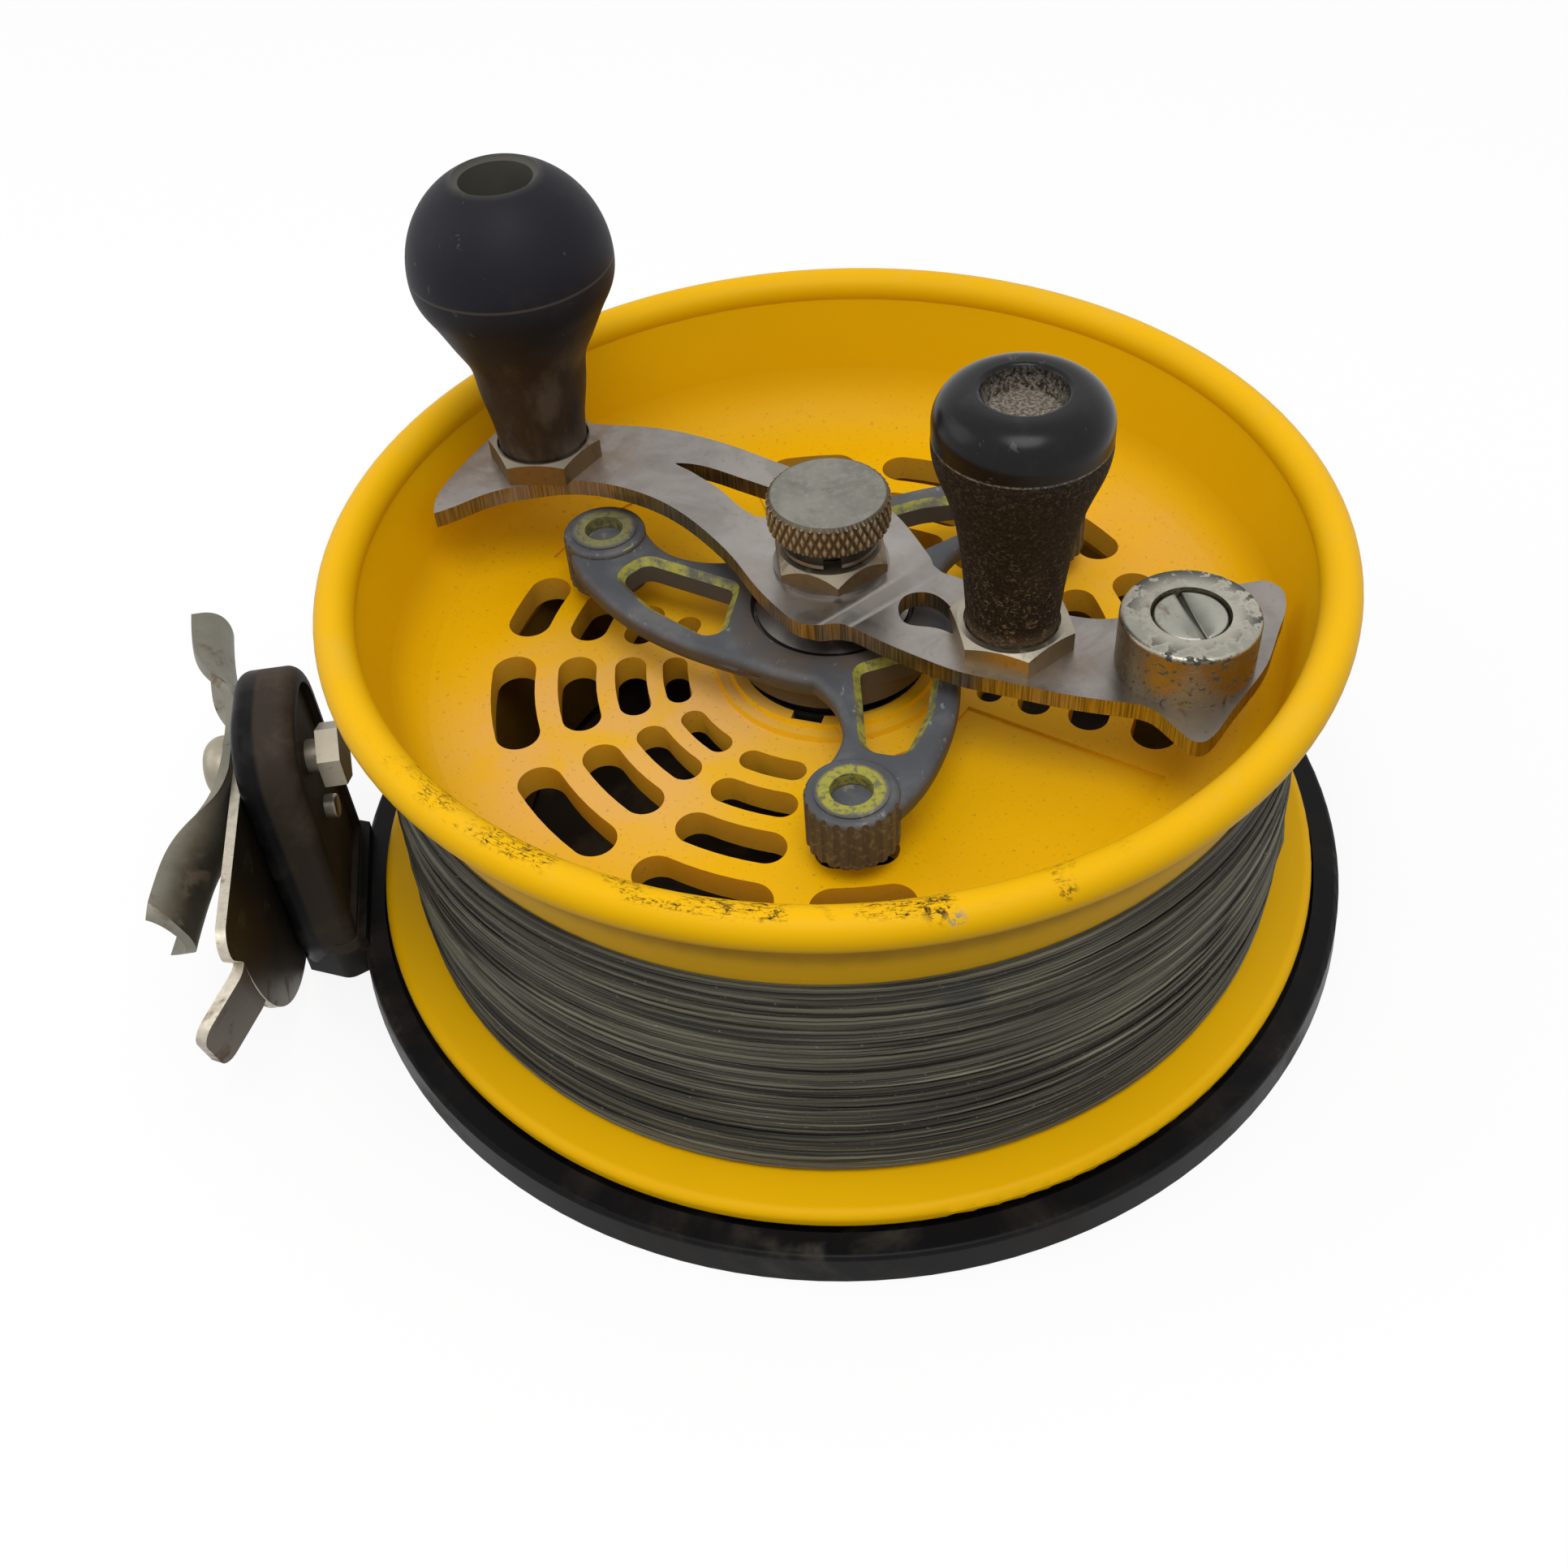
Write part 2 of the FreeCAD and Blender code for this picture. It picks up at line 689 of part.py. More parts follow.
def make_swivel_plate():
    body = new_body("swivel_plate")
    outline = new_sketch(body, "YZ_Plane", f"-{SWIVEL_OUTER}")
    draw_corners(
        outline,
        [
            ("swivel_heel", "pivot_height - swivel_radius", "4"),
            ("swivel_front", "swivel_top - 8", "6"),
            ("swivel_front - 1", "swivel_top", "3"),
            ("-swivel_back", "swivel_top", "3.4"),
            ("-(swivel_radius + 0.5)", "pivot_height - 5", "2"),
            ("-(swivel_radius + 0.5)", "pivot_height - swivel_radius", "swivel_radius - 6"),
        ],
    )
    draw_circle(outline, "0", "pivot_height", "pivot_radius + shaft_clearance")
    add_feature(body, "Pad", outline, Length="swivel_sheet")
    c, s = polar(1.0, value_of("tab_angle"))
    tab = new_sketch(body, "XY_Plane")
    radial, outward = Vector(0, c, s), Vector(-1, 0, 0)
    across = radial.cross(outward)
    centre = Vector(-value_of(f"{BRACKET_OUTER} + swivel_gap"), 0, value_of("pivot_height"))
    tab.setExpression("AttachmentOffset.Base.z", None)
    tab.AttachmentOffset = FreeCAD.Placement(centre, FreeCAD.Rotation(radial, outward, across, "ZXY"))
    draw_corners(
        tab,
        [
            ("swivel_radius - 9", "0"),
            ("swivel_radius + 2", "0", "6"),
            ("tab_reach", "tab_flare"),
            ("tab_reach - swivel_sheet / 2", "tab_flare + swivel_sheet"),
            ("swivel_radius + 1", "swivel_sheet", "4.4"),
            ("swivel_radius - 9", "swivel_sheet"),
        ],
    )
    add_feature(body, "Pad", tab, Length="tab_width", Midplane=True)
    reach = value_of("tab_reach - 2")

    def tab_corner(middle, edge):
        out = (middle - centre).dot(radial)
        side = abs((middle - centre).dot(across))
        return out > reach and abs(side - value_of("tab_width / 2")) < 0.01 and edge.Length < 2.5

    dress(body, "Fillet", tab_corner, "tab_corner")
    return body


# Sections of the foot from its flat middle to a tongue's tip: place along the rod, set back and depth of the curl.
FOOT_SECTIONS = ((7.0, 0.0, 0.02), (11.5, 0.2, 0.8), (17.0, 1.4, 3.2), (24.0, 3.2, 5.2), (31.0, 4.3, 5.4), (38.5, 5.0, 5.0))


def draw_trough(sketch, back, curl):
    """Section of bent sheet: two arcs about one centre, joined along their radii."""
    low, high = value_of("foot_low"), value_of("foot_high")
    half, middle = (high - low) / 2, (high + low) / 2
    radius = (half**2 + curl**2) / (2 * curl)
    centre = Vector(-value_of(SWIVEL_OUTER) - back - radius, middle, 0)
    reach = math.asin(half / radius)
    thin = radius - value_of("foot_sheet")
    for size in (radius, thin):
        sketch.addGeometry(Part.ArcOfCircle(Part.Circle(centre, Vector(0, 0, 1), size), -reach, reach), False)
    for angle in (-reach, reach):
        way = Vector(math.cos(angle), math.sin(angle), 0)
        sketch.addGeometry(Part.LineSegment(centre + way * thin, centre + way * radius), False)


def make_reel_foot():
    """Sheet that lies flat on the swivel plate and curls to the rod in two leaf shaped tongues."""
    body = new_body("reel_foot")
    stations = [(-place, back, curl) for place, back, curl in reversed(FOOT_SECTIONS)] + list(FOOT_SECTIONS)
    sketches = []
    for place, back, curl in stations:
        sketches.append(new_sketch(body, "XZ_Plane", f"{-place}"))
        draw_trough(sketches[-1], back, curl)
    loft = body.newObject("PartDesign::AdditiveLoft", "loft")
    loft.Profile = sketches[0]
    loft.Sections = sketches[1:]
    for sketch in sketches:
        sketch.Visibility = False
    doc.recompute()
    leaf = new_sketch(body, "YZ_Plane", f"-{SWIVEL_OUTER}")
    low, high, far = "foot_low - 0.5", "foot_high + 0.5", "foot_reach"
    draw_corners(leaf, [(f"{side} * {far}", height) for side, far, height in (
        ("-1", "60", "foot_low - 20"), ("1", "60", "foot_low - 20"), ("1", "60", "foot_high + 20"),
        ("-1", "60", "foot_high + 20"))])
    draw_corners(leaf, [("-foot_reach", low, "foot_corner_low"), ("foot_reach", low, "foot_corner_low"),
                        ("foot_reach", high, "foot_corner"), ("-foot_reach", high, "foot_corner")])
    through_cut(body, leaf)
    seat = new_sketch(body, "YZ_Plane", f"-{SWIVEL_OUTER}")
    draw_corners(seat, [(f"-{far}", low), (far, low), (far, high), (f"-{far}", high)])
    add_feature(body, "Pocket", seat, Length="foot_sheet", Reversed=True)
    hole = new_sketch(body, "YZ_Plane", f"-{SWIVEL_OUTER}")
    draw_circle(hole, "0", "pivot_height", "pivot_radius + shaft_clearance")
    through_cut(body, hole)
    return body


# Crank: sleeve, ratchet wheel, collar, handle plate and what stands on it.

def make_sleeve():
    bore = "spindle_radius + shaft_clearance"
    body = turned_piece(
        "crank_sleeve",
        [
            (bore, SLEEVE_LOW),
            ("sleeve_radius", SLEEVE_LOW),
            ("sleeve_radius", RATCHET_TOP),
            ("sleeve_collar", RATCHET_TOP),
            ("sleeve_collar", COLLAR_TOP),
            ("sleeve_radius", COLLAR_TOP),
            ("sleeve_radius", NECK_LOW),
            ("sleeve_neck", NECK_LOW),
            ("sleeve_neck", SLEEVE_TOP),
            (bore, SLEEVE_TOP),
        ],
    )
    flats = new_sketch(body, "XY_Plane", PLATE_LOW)
    for side in ("", "-"):
        near, far = f"{side}sleeve_flat", f"{side}(sleeve_neck + 1)"
        draw_corners(
            flats,
            [("-(sleeve_neck + 1)", near), ("sleeve_neck + 1", near), ("sleeve_neck + 1", far), ("-(sleeve_neck + 1)", far)],
        )
    add_feature(body, "Pocket", flats, Length=f"{SLEEVE_TOP} - ({PLATE_LOW})", Reversed=True)
    return body


def make_ratchet_wheel():
    """Saw teeth: a stop face along the radius, then a slope down to the next."""
    body = new_body("ratchet_wheel")
    sketch = new_sketch(body, "XY_Plane", RATCHET_LOW)
    corners = []
    for tooth in range(RATCHET_TEETH):
        angle = 360.0 / RATCHET_TEETH * tooth
        for radius in ("ratchet_root", "ratchet_radius"):
            c, s = polar(1.0, angle)
            corners.append((f"{radius} * {c:.6f}", f"{radius} * {s:.6f}"))
    draw_corners(sketch, corners)
    draw_circle(sketch, "0", "0", "sleeve_radius")
    add_feature(body, "Pad", sketch, Length="ratchet_thickness")
    return body


def make_plate_collar():
    return turned_piece(
        "plate_collar",
        [
            ("sleeve_neck", NECK_LOW),
            ("plate_collar_radius - 1.5", NECK_LOW),
            ("plate_collar_radius", f"{PLATE_LOW} - 1.2", "1.5"),
            ("plate_collar_radius", PLATE_LOW),
            ("sleeve_neck", PLATE_LOW),
        ],
    )


# Handle outline, as points that a smooth curve joins: left arm, hub, right arm.
HANDLE_CORNERS = (
    ((-64.3, 27.0), (-59.9, 28.6), (-55.2, 30.7), (-48.1, 31.7), (-41.0, 31.4), (-32.8, 28.0), (-25.0, 21.3),
     (-19.1, 12.2), (-15.3, 3.8), (-12.8, -3.7), (-9.7, -10.5), (-7.6, -13.6), (-4.9, -14.9), (-2.3, -14.5),
     (0.3, -14.5), (2.2, -16.1), (6.2, -20.3), (10.4, -24.2), (14.9, -28.0), (19.7, -30.8), (24.1, -33.2),
     (31.3, -37.0), (38.0, -39.8), (40.9, -41.5), (42.5, -44.3), (44.0, -47.9), (45.2, -49.5), (46.3, -49.8),
     (47.5, -49.3), (51.3, -45.6), (57.6, -39.2), (60.7, -35.7), (65.2, -28.4), (67.6, -24.4), (68.6, -21.4),
     (68.7, -19.4), (67.9, -17.9), (66.7, -17.0), (65.2, -16.9), (62.0, -17.0), (52.0, -18.2), (41.4, -21.0),
     (34.3, -18.7), (25.7, -11.9), (16.2, -3.6)),
    ((16.2, -3.6), (14.4, 4.2), (11.5, 12.3), (4.9, 20.4), (-3.1, 27.3), (-11.2, 34.9), (-18.4, 40.4),
     (-25.6, 44.3), (-35.4, 47.5), (-40.3, 50.1), (-43.6, 53.9), (-46.2, 56.2)),
    ((-46.2, 56.2), (-54.2, 47.4), (-60.2, 38.7), (-64.0, 31.0), (-64.3, 27.0)),
)
LEFT_SLOT = ((-21.9, 32.4), (-19.0, 31.4), (-15.6, 29.2), (-11.4, 25.6), (-7.6, 22.4), (-5.5, 19.8), (-5.4, 16.6),
             (-7.2, 14.2), (-9.6, 14.0), (-11.7, 16.0), (-13.8, 19.8), (-15.9, 24.0), (-18.4, 27.5), (-20.7, 30.5))
RIGHT_SLOT = ((8.7, -12.7), (12.7, -8.5), (14.5, -9.1), (17.0, -13.1), (18.2, -18.1), (19.2, -23.9), (14.1, -17.8))


def draw_curves(sketch, runs):
    """Closed outline of smooth curves that meet at corners."""
    for run in runs:
        curve = Part.BSplineCurve()
        curve.interpolate([Vector(x, y, 0) for x, y in run])
        sketch.addGeometry(curve, False)


def draw_loop(sketch, points):
    curve = Part.BSplineCurve()
    curve.interpolate([Vector(x, y, 0) for x, y in points], PeriodicFlag=True)
    sketch.addGeometry(curve, False)


def make_handle_plate():
    """Sheet with a joggle across it, trimmed to the S outline. Its own X axis crosses the bend."""
    body = new_body("handle_plate", turn="bend_turn")
    section = new_sketch(body, "XZ_Plane")
    far = 80
    low = f"{PLATE_LOW} - handle_step"
    bend = "bend_distance"
    draw_corners(
        section,
        [
            (f"-{far}", PLATE_LOW),
            (f"{bend} - 0.6", PLATE_LOW, "1.5"),
            (f"{bend} + bend_run - 0.6", low, "1.5"),
            (f"{far}", low),
            (f"{far}", RIGHT_TOP),
            (f"{bend} + bend_run", RIGHT_TOP, "1.5"),
            (bend, "handle_top", "1.5"),
            (f"-{far}", "handle_top"),
        ],
    )
    add_feature(body, "Pad", section, Length=f"{2 * far}", Midplane=True)
    angle = -value_of("bend_turn")
    trim = new_sketch(body, "XY_Plane", f"{PLATE_LOW} - handle_step")
    edge = far + 5
    draw_corners(trim, [(str(x * edge), str(y * edge)) for x, y in ((-1, -1), (1, -1), (1, 1), (-1, 1))])
    draw_curves(trim, [turned(run, angle) for run in HANDLE_CORNERS])
    through_cut(body, trim)
    holes = new_sketch(body, "XY_Plane", f"{PLATE_LOW} - handle_step")
    for slot in (LEFT_SLOT, RIGHT_SLOT):
        draw_loop(holes, turned(slot, angle))
    for x, y, radius in (("ball_x", "ball_y", "axle_shank"), ("taper_x", "taper_y", "axle_shank"),
                         ("weight_x", "weight_y", "weight_screw_radius")):
        c, s = polar(1.0, angle)
        draw_circle(holes, f"{x} * {c:.9f} - {y} * {s:.9f}", f"{x} * {s:.9f} + {y} * {c:.9f}", radius)
    draw_double_flat(holes, angle)
    through_cut(body, holes)
    return body


def draw_double_flat(sketch, degrees):
    """Hole with two flats that fits the top of the sleeve."""
    radius, flat = value_of("sleeve_neck"), value_of("sleeve_flat")
    lift = math.asin(flat / radius)
    turn = math.radians(degrees)
    for middle in (0.0, math.pi):
        first, last = middle - lift + turn, middle + lift + turn
        circle = Part.Circle(Vector(0, 0, 0), Vector(0, 0, 1), radius)
        sketch.addGeometry(Part.ArcOfCircle(circle, first, last), False)
        start = Vector(radius * math.cos(last), radius * math.sin(last), 0)
        after = middle + math.pi - lift + turn
        end = Vector(radius * math.cos(after), radius * math.sin(after), 0)
        sketch.addGeometry(Part.LineSegment(start, end), False)


def make_hub_fasteners():
    lock = washer("lock_washer", "sleeve_neck", "lock_washer_radius", "handle_top", LOCK_TOP)
    nut = hex_piece("handle_nut", "hub_nut_flats", LOCK_TOP, "hub_nut_height", "sleeve_neck", "hub_nut_chamfer",
                    turn="hub_nut_turn")
    return [lock, nut]


def make_cap_knob():
    top = f"{KNOB_LOW} + cap_knob_height"
    roof = f"{top} - cap_knob_roof"
    shoulder = f"{KNOB_LOW} + cap_knob_stand"
    bore = "stud_radius + shaft_clearance"
    return turned_piece(
        "release_knob",
        [
            (bore, KNOB_LOW),
            ("cap_knob_neck", KNOB_LOW),
            ("cap_knob_neck", shoulder),
            ("cap_knob_radius - cap_knob_chamfer", shoulder),
            ("cap_knob_radius", f"{shoulder} + cap_knob_chamfer"),
            ("cap_knob_radius", f"{top} - cap_knob_chamfer"),
            ("cap_knob_radius - cap_knob_chamfer", top),
            ("0", top),
            ("0", roof),
            (bore, roof),
        ],
    )


def make_axle(label, plate_top, head_low, **place):
    """Riveted axle: a foot below the plate, a shank in it, a journal and a head that keeps the knob on."""
    low = f"{plate_top} - handle_thickness"
    cup = f"{plate_top} + knob_nut_height - knob_nut_cup"
    return turned_piece(
        label,
        [
            ("0", f"{low} - axle_foot_height"),
            ("axle_foot_radius", f"{low} - axle_foot_height", "0.8"),
            ("axle_foot_radius", low),
            ("axle_shank", low),
            ("axle_shank", cup),
            ("axle_radius", cup),
            ("axle_radius", head_low),
            ("axle_head_radius", head_low),
            ("axle_head_radius", f"{head_low} + axle_head_height"),
            ("0", f"{head_low} + axle_head_height"),
        ],
        **place,
    )


def make_knob_nut(label, plate_top, cup_radius, **place):
    """Hex nut with a cup in its top that the foot of a knob turns in."""
    body = hex_piece(label, "knob_nut_flats", plate_top, "knob_nut_height", "axle_shank", **place)
    top = f"{plate_top} + knob_nut_height"
    floor = f"{top} - knob_nut_cup"
    spin(body, [("0", floor), (cup_radius, floor), (cup_radius, f"{top} + 1"), ("0", f"{top} + 1")], groove=True)
    return body


def make_ball_knob():
    """Ball over a funnel and a neck, with a deep mouth in its crown."""
    body = new_body("ball_knob", x="ball_x", y="ball_y")
    sketch = new_sketch(body, "XZ_Plane")
    bore = value_of("axle_radius + shaft_clearance")
    low = value_of("handle_top + knob_nut_height - knob_nut_cup + running_gap")
    foot = value_of("ball_foot_radius")
    neck, neck_z = value_of("ball_neck_radius"), value_of("ball_neck_height")
    ball, centre = value_of("ball_radius"), value_of("ball_centre")
    mouth, seat = value_of("ball_mouth"), value_of("ball_seat")
    rim = math.sqrt(ball**2 - (mouth + 1.0) ** 2)
    foot_z = low + value_of("ball_foot_rise")
    neck_curve = Part.BSplineCurve()
    neck_curve.interpolate(
        [
            Vector(foot, foot_z, 0),
            Vector(foot + 0.45, foot_z + 5, 0),
            Vector(neck - 0.45, neck_z - 5, 0),
            Vector(neck + 0.3, neck_z, 0),
            Vector(neck + 1.8, neck_z + 3.2, 0),
            Vector(ball - 1.9, centre - 6.2, 0),
            Vector(ball, centre, 0),
        ],
        InitialTangent=Vector(0, 1, 0),
        FinalTangent=Vector(0, 1, 0),
    )
    start = math.degrees(math.atan2(rim, mouth + 1.0))
    dome = Part.ArcOfCircle(Part.Circle(Vector(0, centre, 0), Vector(0, 0, 1), ball), 0.0, math.radians(start))
    edge_out = Vector(mouth + 1.0, centre + rim, 0)
    edge_in = Vector(mouth, centre + rim - 0.7, 0)
    corners = [edge_out, edge_in, Vector(mouth, seat, 0), Vector(bore, seat, 0), Vector(bore, low, 0),
               Vector(foot - 0.4, low, 0), Vector(foot, foot_z, 0)]
    sketch.addGeometry([neck_curve, dome], False)
    for first, last in zip(corners, corners[1:]):
        sketch.addGeometry(Part.LineSegment(first, last), False)
    feature = add_feature(body, "Revolution", sketch, Angle=360.0)
    feature.ReferenceAxis = (sketch, ["V_Axis"])
    return body


def make_tapered_knob():
    """Textured grip that flares up to its cap."""
    body = new_body("tapered_knob", x="taper_x", y="taper_y")
    sketch = new_sketch(body, "XZ_Plane")
    bore = value_of("axle_radius + shaft_clearance")
    low = value_of(f"{RIGHT_TOP} + knob_nut_height - knob_nut_cup + running_gap")
    foot = value_of("taper_foot_radius")
    waist, waist_z = value_of("taper_waist_radius"), value_of("taper_waist_height")
    flare, flare_z = value_of("taper_flare_radius"), value_of("taper_flare_height")
    cap, cap_z = value_of("cap_radius"), value_of("cap_low")
    head, seat = value_of("axle_head_radius + 0.4"), value_of("taper_seat")
    grip = Part.BSplineCurve()
    grip.interpolate(
        [
            Vector(foot, low + 2.4, 0),
            Vector(waist - 0.75, waist_z - 7, 0),
            Vector(waist, waist_z, 0),
            Vector(waist + 1.0, waist_z + 6, 0),
            Vector(flare - 1.3, flare_z - 3.8, 0),
            Vector(flare, flare_z, 0),
            Vector(cap, cap_z, 0),
        ]
    )
    corners = [Vector(cap, cap_z, 0), Vector(head, cap_z, 0), Vector(head, seat, 0), Vector(bore, seat, 0),
               Vector(bore, low, 0), Vector(foot, low, 0), Vector(foot, low + 2.4, 0)]
    sketch.addGeometry([grip], False)
    for first, last in zip(corners, corners[1:]):
        sketch.addGeometry(Part.LineSegment(first, last), False)
    feature = add_feature(body, "Revolution", sketch, Angle=360.0)
    feature.ReferenceAxis = (sketch, ["V_Axis"])
    return body


def make_knob_cap():
    return turned_piece(
        "tapered_knob_cap",
        [
            ("0", "cap_low"),
            ("cap_radius", "cap_low"),
            ("cap_radius", "cap_top", "cap_corner"),
            ("cap_mouth", "cap_top", "0.8"),
            ("cap_mouth - 0.6", "cap_top - cap_mouth_depth"),
            ("0", "cap_top - cap_mouth_depth"),
        ],
        x="taper_x",
        y="taper_y",
    )


def make_counterweight():
    top = f"{RIGHT_TOP} + weight_height"
    cup = f"{top} - weight_cup_depth"
    weight = turned_piece(
        "counterweight",
        [
            ("weight_screw_radius", RIGHT_TOP),
            ("weight_radius", RIGHT_TOP),
            ("weight_radius", top, "weight_chamfer"),
            ("weight_cup_radius", top),
            ("weight_cup_radius - 0.3", cup),
            ("weight_screw_radius", cup),
        ],
        x="weight_x",
        y="weight_y",
    )
    head = f"{top} - weight_screw_sink"
    tail = f"{RIGHT_TOP} - handle_thickness - weight_screw_tail"
    screw = turned_piece(
        "counterweight_screw",
        [
            ("0", tail),
            ("weight_screw_radius", tail),
            ("weight_screw_radius", cup),
            ("weight_screw_head", cup),
            ("weight_screw_head", head, "0.4"),
            ("0", head),
        ],
        x="weight_x",
        y="weight_y",
        turn="ball_nut_turn",
    )
    slot = new_sketch(screw, "XY_Plane", head)
    span, half = "weight_screw_head + 1", "slot_width / 2"
    draw_corners(slot, [(f"-({span})", f"-{half}"), (span, f"-{half}"), (span, half), (f"-({span})", half)])
    add_feature(screw, "Pocket", slot, Length="slot_depth")
    return [weight, screw]


# Drag: star wheel on the sleeve's thread, washers and the eared disc.

STAR_CONCAVE = ((18.9, -4.4), (23.3, -1.6), (27.4, -0.5), (31.6, -0.6), (35.6, -2.2))
STAR_CONVEX = ((42.8, 10.9), (37.6, 13.9), (32.2, 16.2), (27.0, 17.8), (21.0, 18.9), (14.0, 19.4), (6.0, 19.4),
               (-1.4, 19.3))
STAR_WINDOW = ((17.0, 3.2, 1.6), (34.4, 3.0, 2.4), (36.2, 8.6, 2.6), (27.4, 12.9, 9.0), (13.2, 15.9, 2.2))
TIP_START = -125.0
TIP_END = 62.0


def make_star_wheel():
    """Three swept arms with fluted tips, and a bevelled window in each."""
    body = new_body("star_wheel", turn="star_turn")
    low = f"{THRUST_TOP}"
    reach, tip = value_of("star_reach"), value_of("star_tip_radius")
    arm_low = f"{STAR_TOP} - star_arm"
    outline = new_sketch(body, "XY_Plane", arm_low)
    for arm in range(3):
        draw_star_arm(outline, 120.0 * arm, reach, tip)
    add_feature(body, "Pad", outline, Length="star_arm")
    windows = new_sketch(body, "XY_Plane", arm_low)
    for arm in range(3):
        corners = [(*turned([(x, y)], 120.0 * arm)[0], size) for x, y, size in STAR_WINDOW]
        draw_corners(windows, [tuple(f"{part:.6f}" for part in corner) for corner in corners])
    add_feature(body, "Pocket", windows, Length="star_arm", Reversed=True)
    top, bottom = value_of(STAR_TOP), value_of(arm_low)

    def window_edge(middle, edge):
        return abs(middle.z - top) < 0.01 and beside_window(middle)

    dress(body, "Chamfer", window_edge, "star_bevel")

    def outer_edge(middle, edge):
        return abs(middle.z - top) < 0.01 and not beside_window(middle)

    dress(body, "Fillet", outer_edge, "star_edge")

    def under_edge(middle, edge):
        return abs(middle.z - bottom) < 0.01 and not beside_window(middle)

    dress(body, "Fillet", under_edge, "star_under")
    barrel = new_sketch(body, "XY_Plane", low)
    draw_circle(barrel, "0", "0", "star_barrel")
    add_feature(body, "Pad", barrel, Length="star_thickness - star_edge")
    tips = new_sketch(body, "XY_Plane", f"{low} - star_tip_drop")
    flutes = new_sketch(body, "XY_Plane", f"{low} - star_tip_drop")
    rings = new_sketch(body, "XY_Plane", f"{STAR_TOP} + star_tip_rise")
    dimples = new_sketch(body, "XY_Plane", f"{STAR_TOP} + star_tip_rise + star_ring_height")
    for arm in range(3):
        c, s = polar(1.0, 120.0 * arm)
        centre = (f"star_reach * {c:.6f}", f"star_reach * {s:.6f}")
        draw_circle(tips, *centre, "star_tip_radius")
        draw_circle(rings, *centre, "star_ring_radius")
        draw_circle(dimples, *centre, "star_dimple_radius")
        for flute in range(FLUTES):
            angle = 120.0 * arm + (flute - (FLUTES - 1) / 2) * FLUTE_STEP - 22.0
            fc, fs = polar(1.0, angle)
            draw_circle(
                flutes,
                f"star_reach * {c:.6f} + (star_tip_radius + flute_radius * 0.55) * {fc:.6f}",
                f"star_reach * {s:.6f} + (star_tip_radius + flute_radius * 0.55) * {fs:.6f}",
                "flute_radius",
            )
    add_feature(body, "Pad", tips, Length="star_thickness + star_tip_drop + star_tip_rise")
    crest = value_of(f"{STAR_TOP} + star_tip_rise")

    def tip_edge(middle, edge):
        return abs(middle.z - crest) < 0.01

    dress(body, "Fillet", tip_edge, "star_tip_edge")
    add_feature(body, "Pocket", flutes, Length="star_thickness + star_tip_drop + star_tip_rise", Reversed=True)
    add_feature(body, "Pad", rings, Length="star_ring_height")
    add_feature(body, "Pocket", dimples, Length="star_dimple_depth")
    spin(
        body,
        [
            ("0", f"{low} - 1"),
            ("star_hub_radius", f"{low} - 1"),
            ("star_hub_radius", f"{STAR_TOP} - star_seat_depth"),
            ("star_seat_radius", f"{STAR_TOP} - star_seat_depth"),
            ("star_seat_radius + 0.8", f"{STAR_TOP} + 1"),
            ("0", f"{STAR_TOP} + 1"),
        ],
        groove=True,
    )
    return body


def draw_star_arm(sketch, degrees, reach, tip):
    start = (reach + tip * math.cos(math.radians(TIP_START)), tip * math.sin(math.radians(TIP_START)))
    end = (reach + tip * math.cos(math.radians(TIP_END)), tip * math.sin(math.radians(TIP_END)))
    valley = turned([STAR_CONCAVE[0]], 120.0)[0]
    draw_curves(sketch, [turned(STAR_CONCAVE + (start,), degrees), turned((end,) + STAR_CONVEX + (valley,), degrees)])
    centre = Vector(*turned([(reach, 0.0)], degrees)[0], 0)
    first, last = (math.radians(angle + degrees) for angle in (TIP_START, TIP_END))
    sketch.addGeometry(Part.ArcOfCircle(Part.Circle(centre, Vector(0, 0, 1), tip), first, last), False)


def nearest(runs, point):
    """Distance from a point of the wheel to the nearest of some runs, which all three arms repeat."""
    spot = Part.Vertex(point.x, point.y, 0)
    copies = [turned(run, 120.0 * arm) for run in runs for arm in range(3)]
    return min(Part.makePolygon([Vector(x, y, 0) for x, y in run]).distToShape(spot)[0] for run in copies)


def beside_window(point):
    """Whether a point lies nearer to a window's edge than to the wheel's outline."""
    window = [corner[:2] for corner in STAR_WINDOW + STAR_WINDOW[:1]]
    return nearest([window], point) < nearest([STAR_CONCAVE, STAR_CONVEX], point)


def make_star_insert():
    """Metal threaded bush with a domed flange that lies in the star's seat."""
    bore = BORE
    seat = f"{STAR_TOP} - star_seat_depth"
    return turned_piece(
        "star_insert",
        [
            (bore, THRUST_TOP),
            ("star_hub_radius", THRUST_TOP),
            ("star_hub_radius", seat),
            ("dome_radius", seat),
            ("dome_radius", f"{seat} + dome_thickness"),
            ("star_hub_radius", DOME_TOP, "4"),
            (bore, DOME_TOP),
        ],
    )


def make_drag_stack():
    bore = "sleeve_radius + washer_bore_gap"
    disc = washer("drag_disc", bore, "drag_disc_radius", "recess_floor", DISC_TOP, turn="ear_turn")
    ears = new_sketch(disc, "XY_Plane", "recess_floor")
    for side in ("", "-"):
        near, far, half = f"{side}(drag_disc_radius - 2)", f"{side}ear_radius", "ear_width / 2"
        draw_corners(ears, [(near, f"-{half}"), (far, f"-{half}"), (far, half), (near, half)])
    add_feature(disc, "Pad", ears, Length="drag_disc_thickness")
    friction = washer("friction_washer", bore, "stack_radius", DISC_TOP, FRICTION_TOP)
    pressure = washer("pressure_washer", BORE, "stack_radius", FRICTION_TOP, PRESSURE_TOP)
    thrust = washer("thrust_washer", BORE, "thrust_radius", SPRING_TOP, THRUST_TOP)
    return [disc, friction, pressure, thrust, make_spring_washers(bore)]


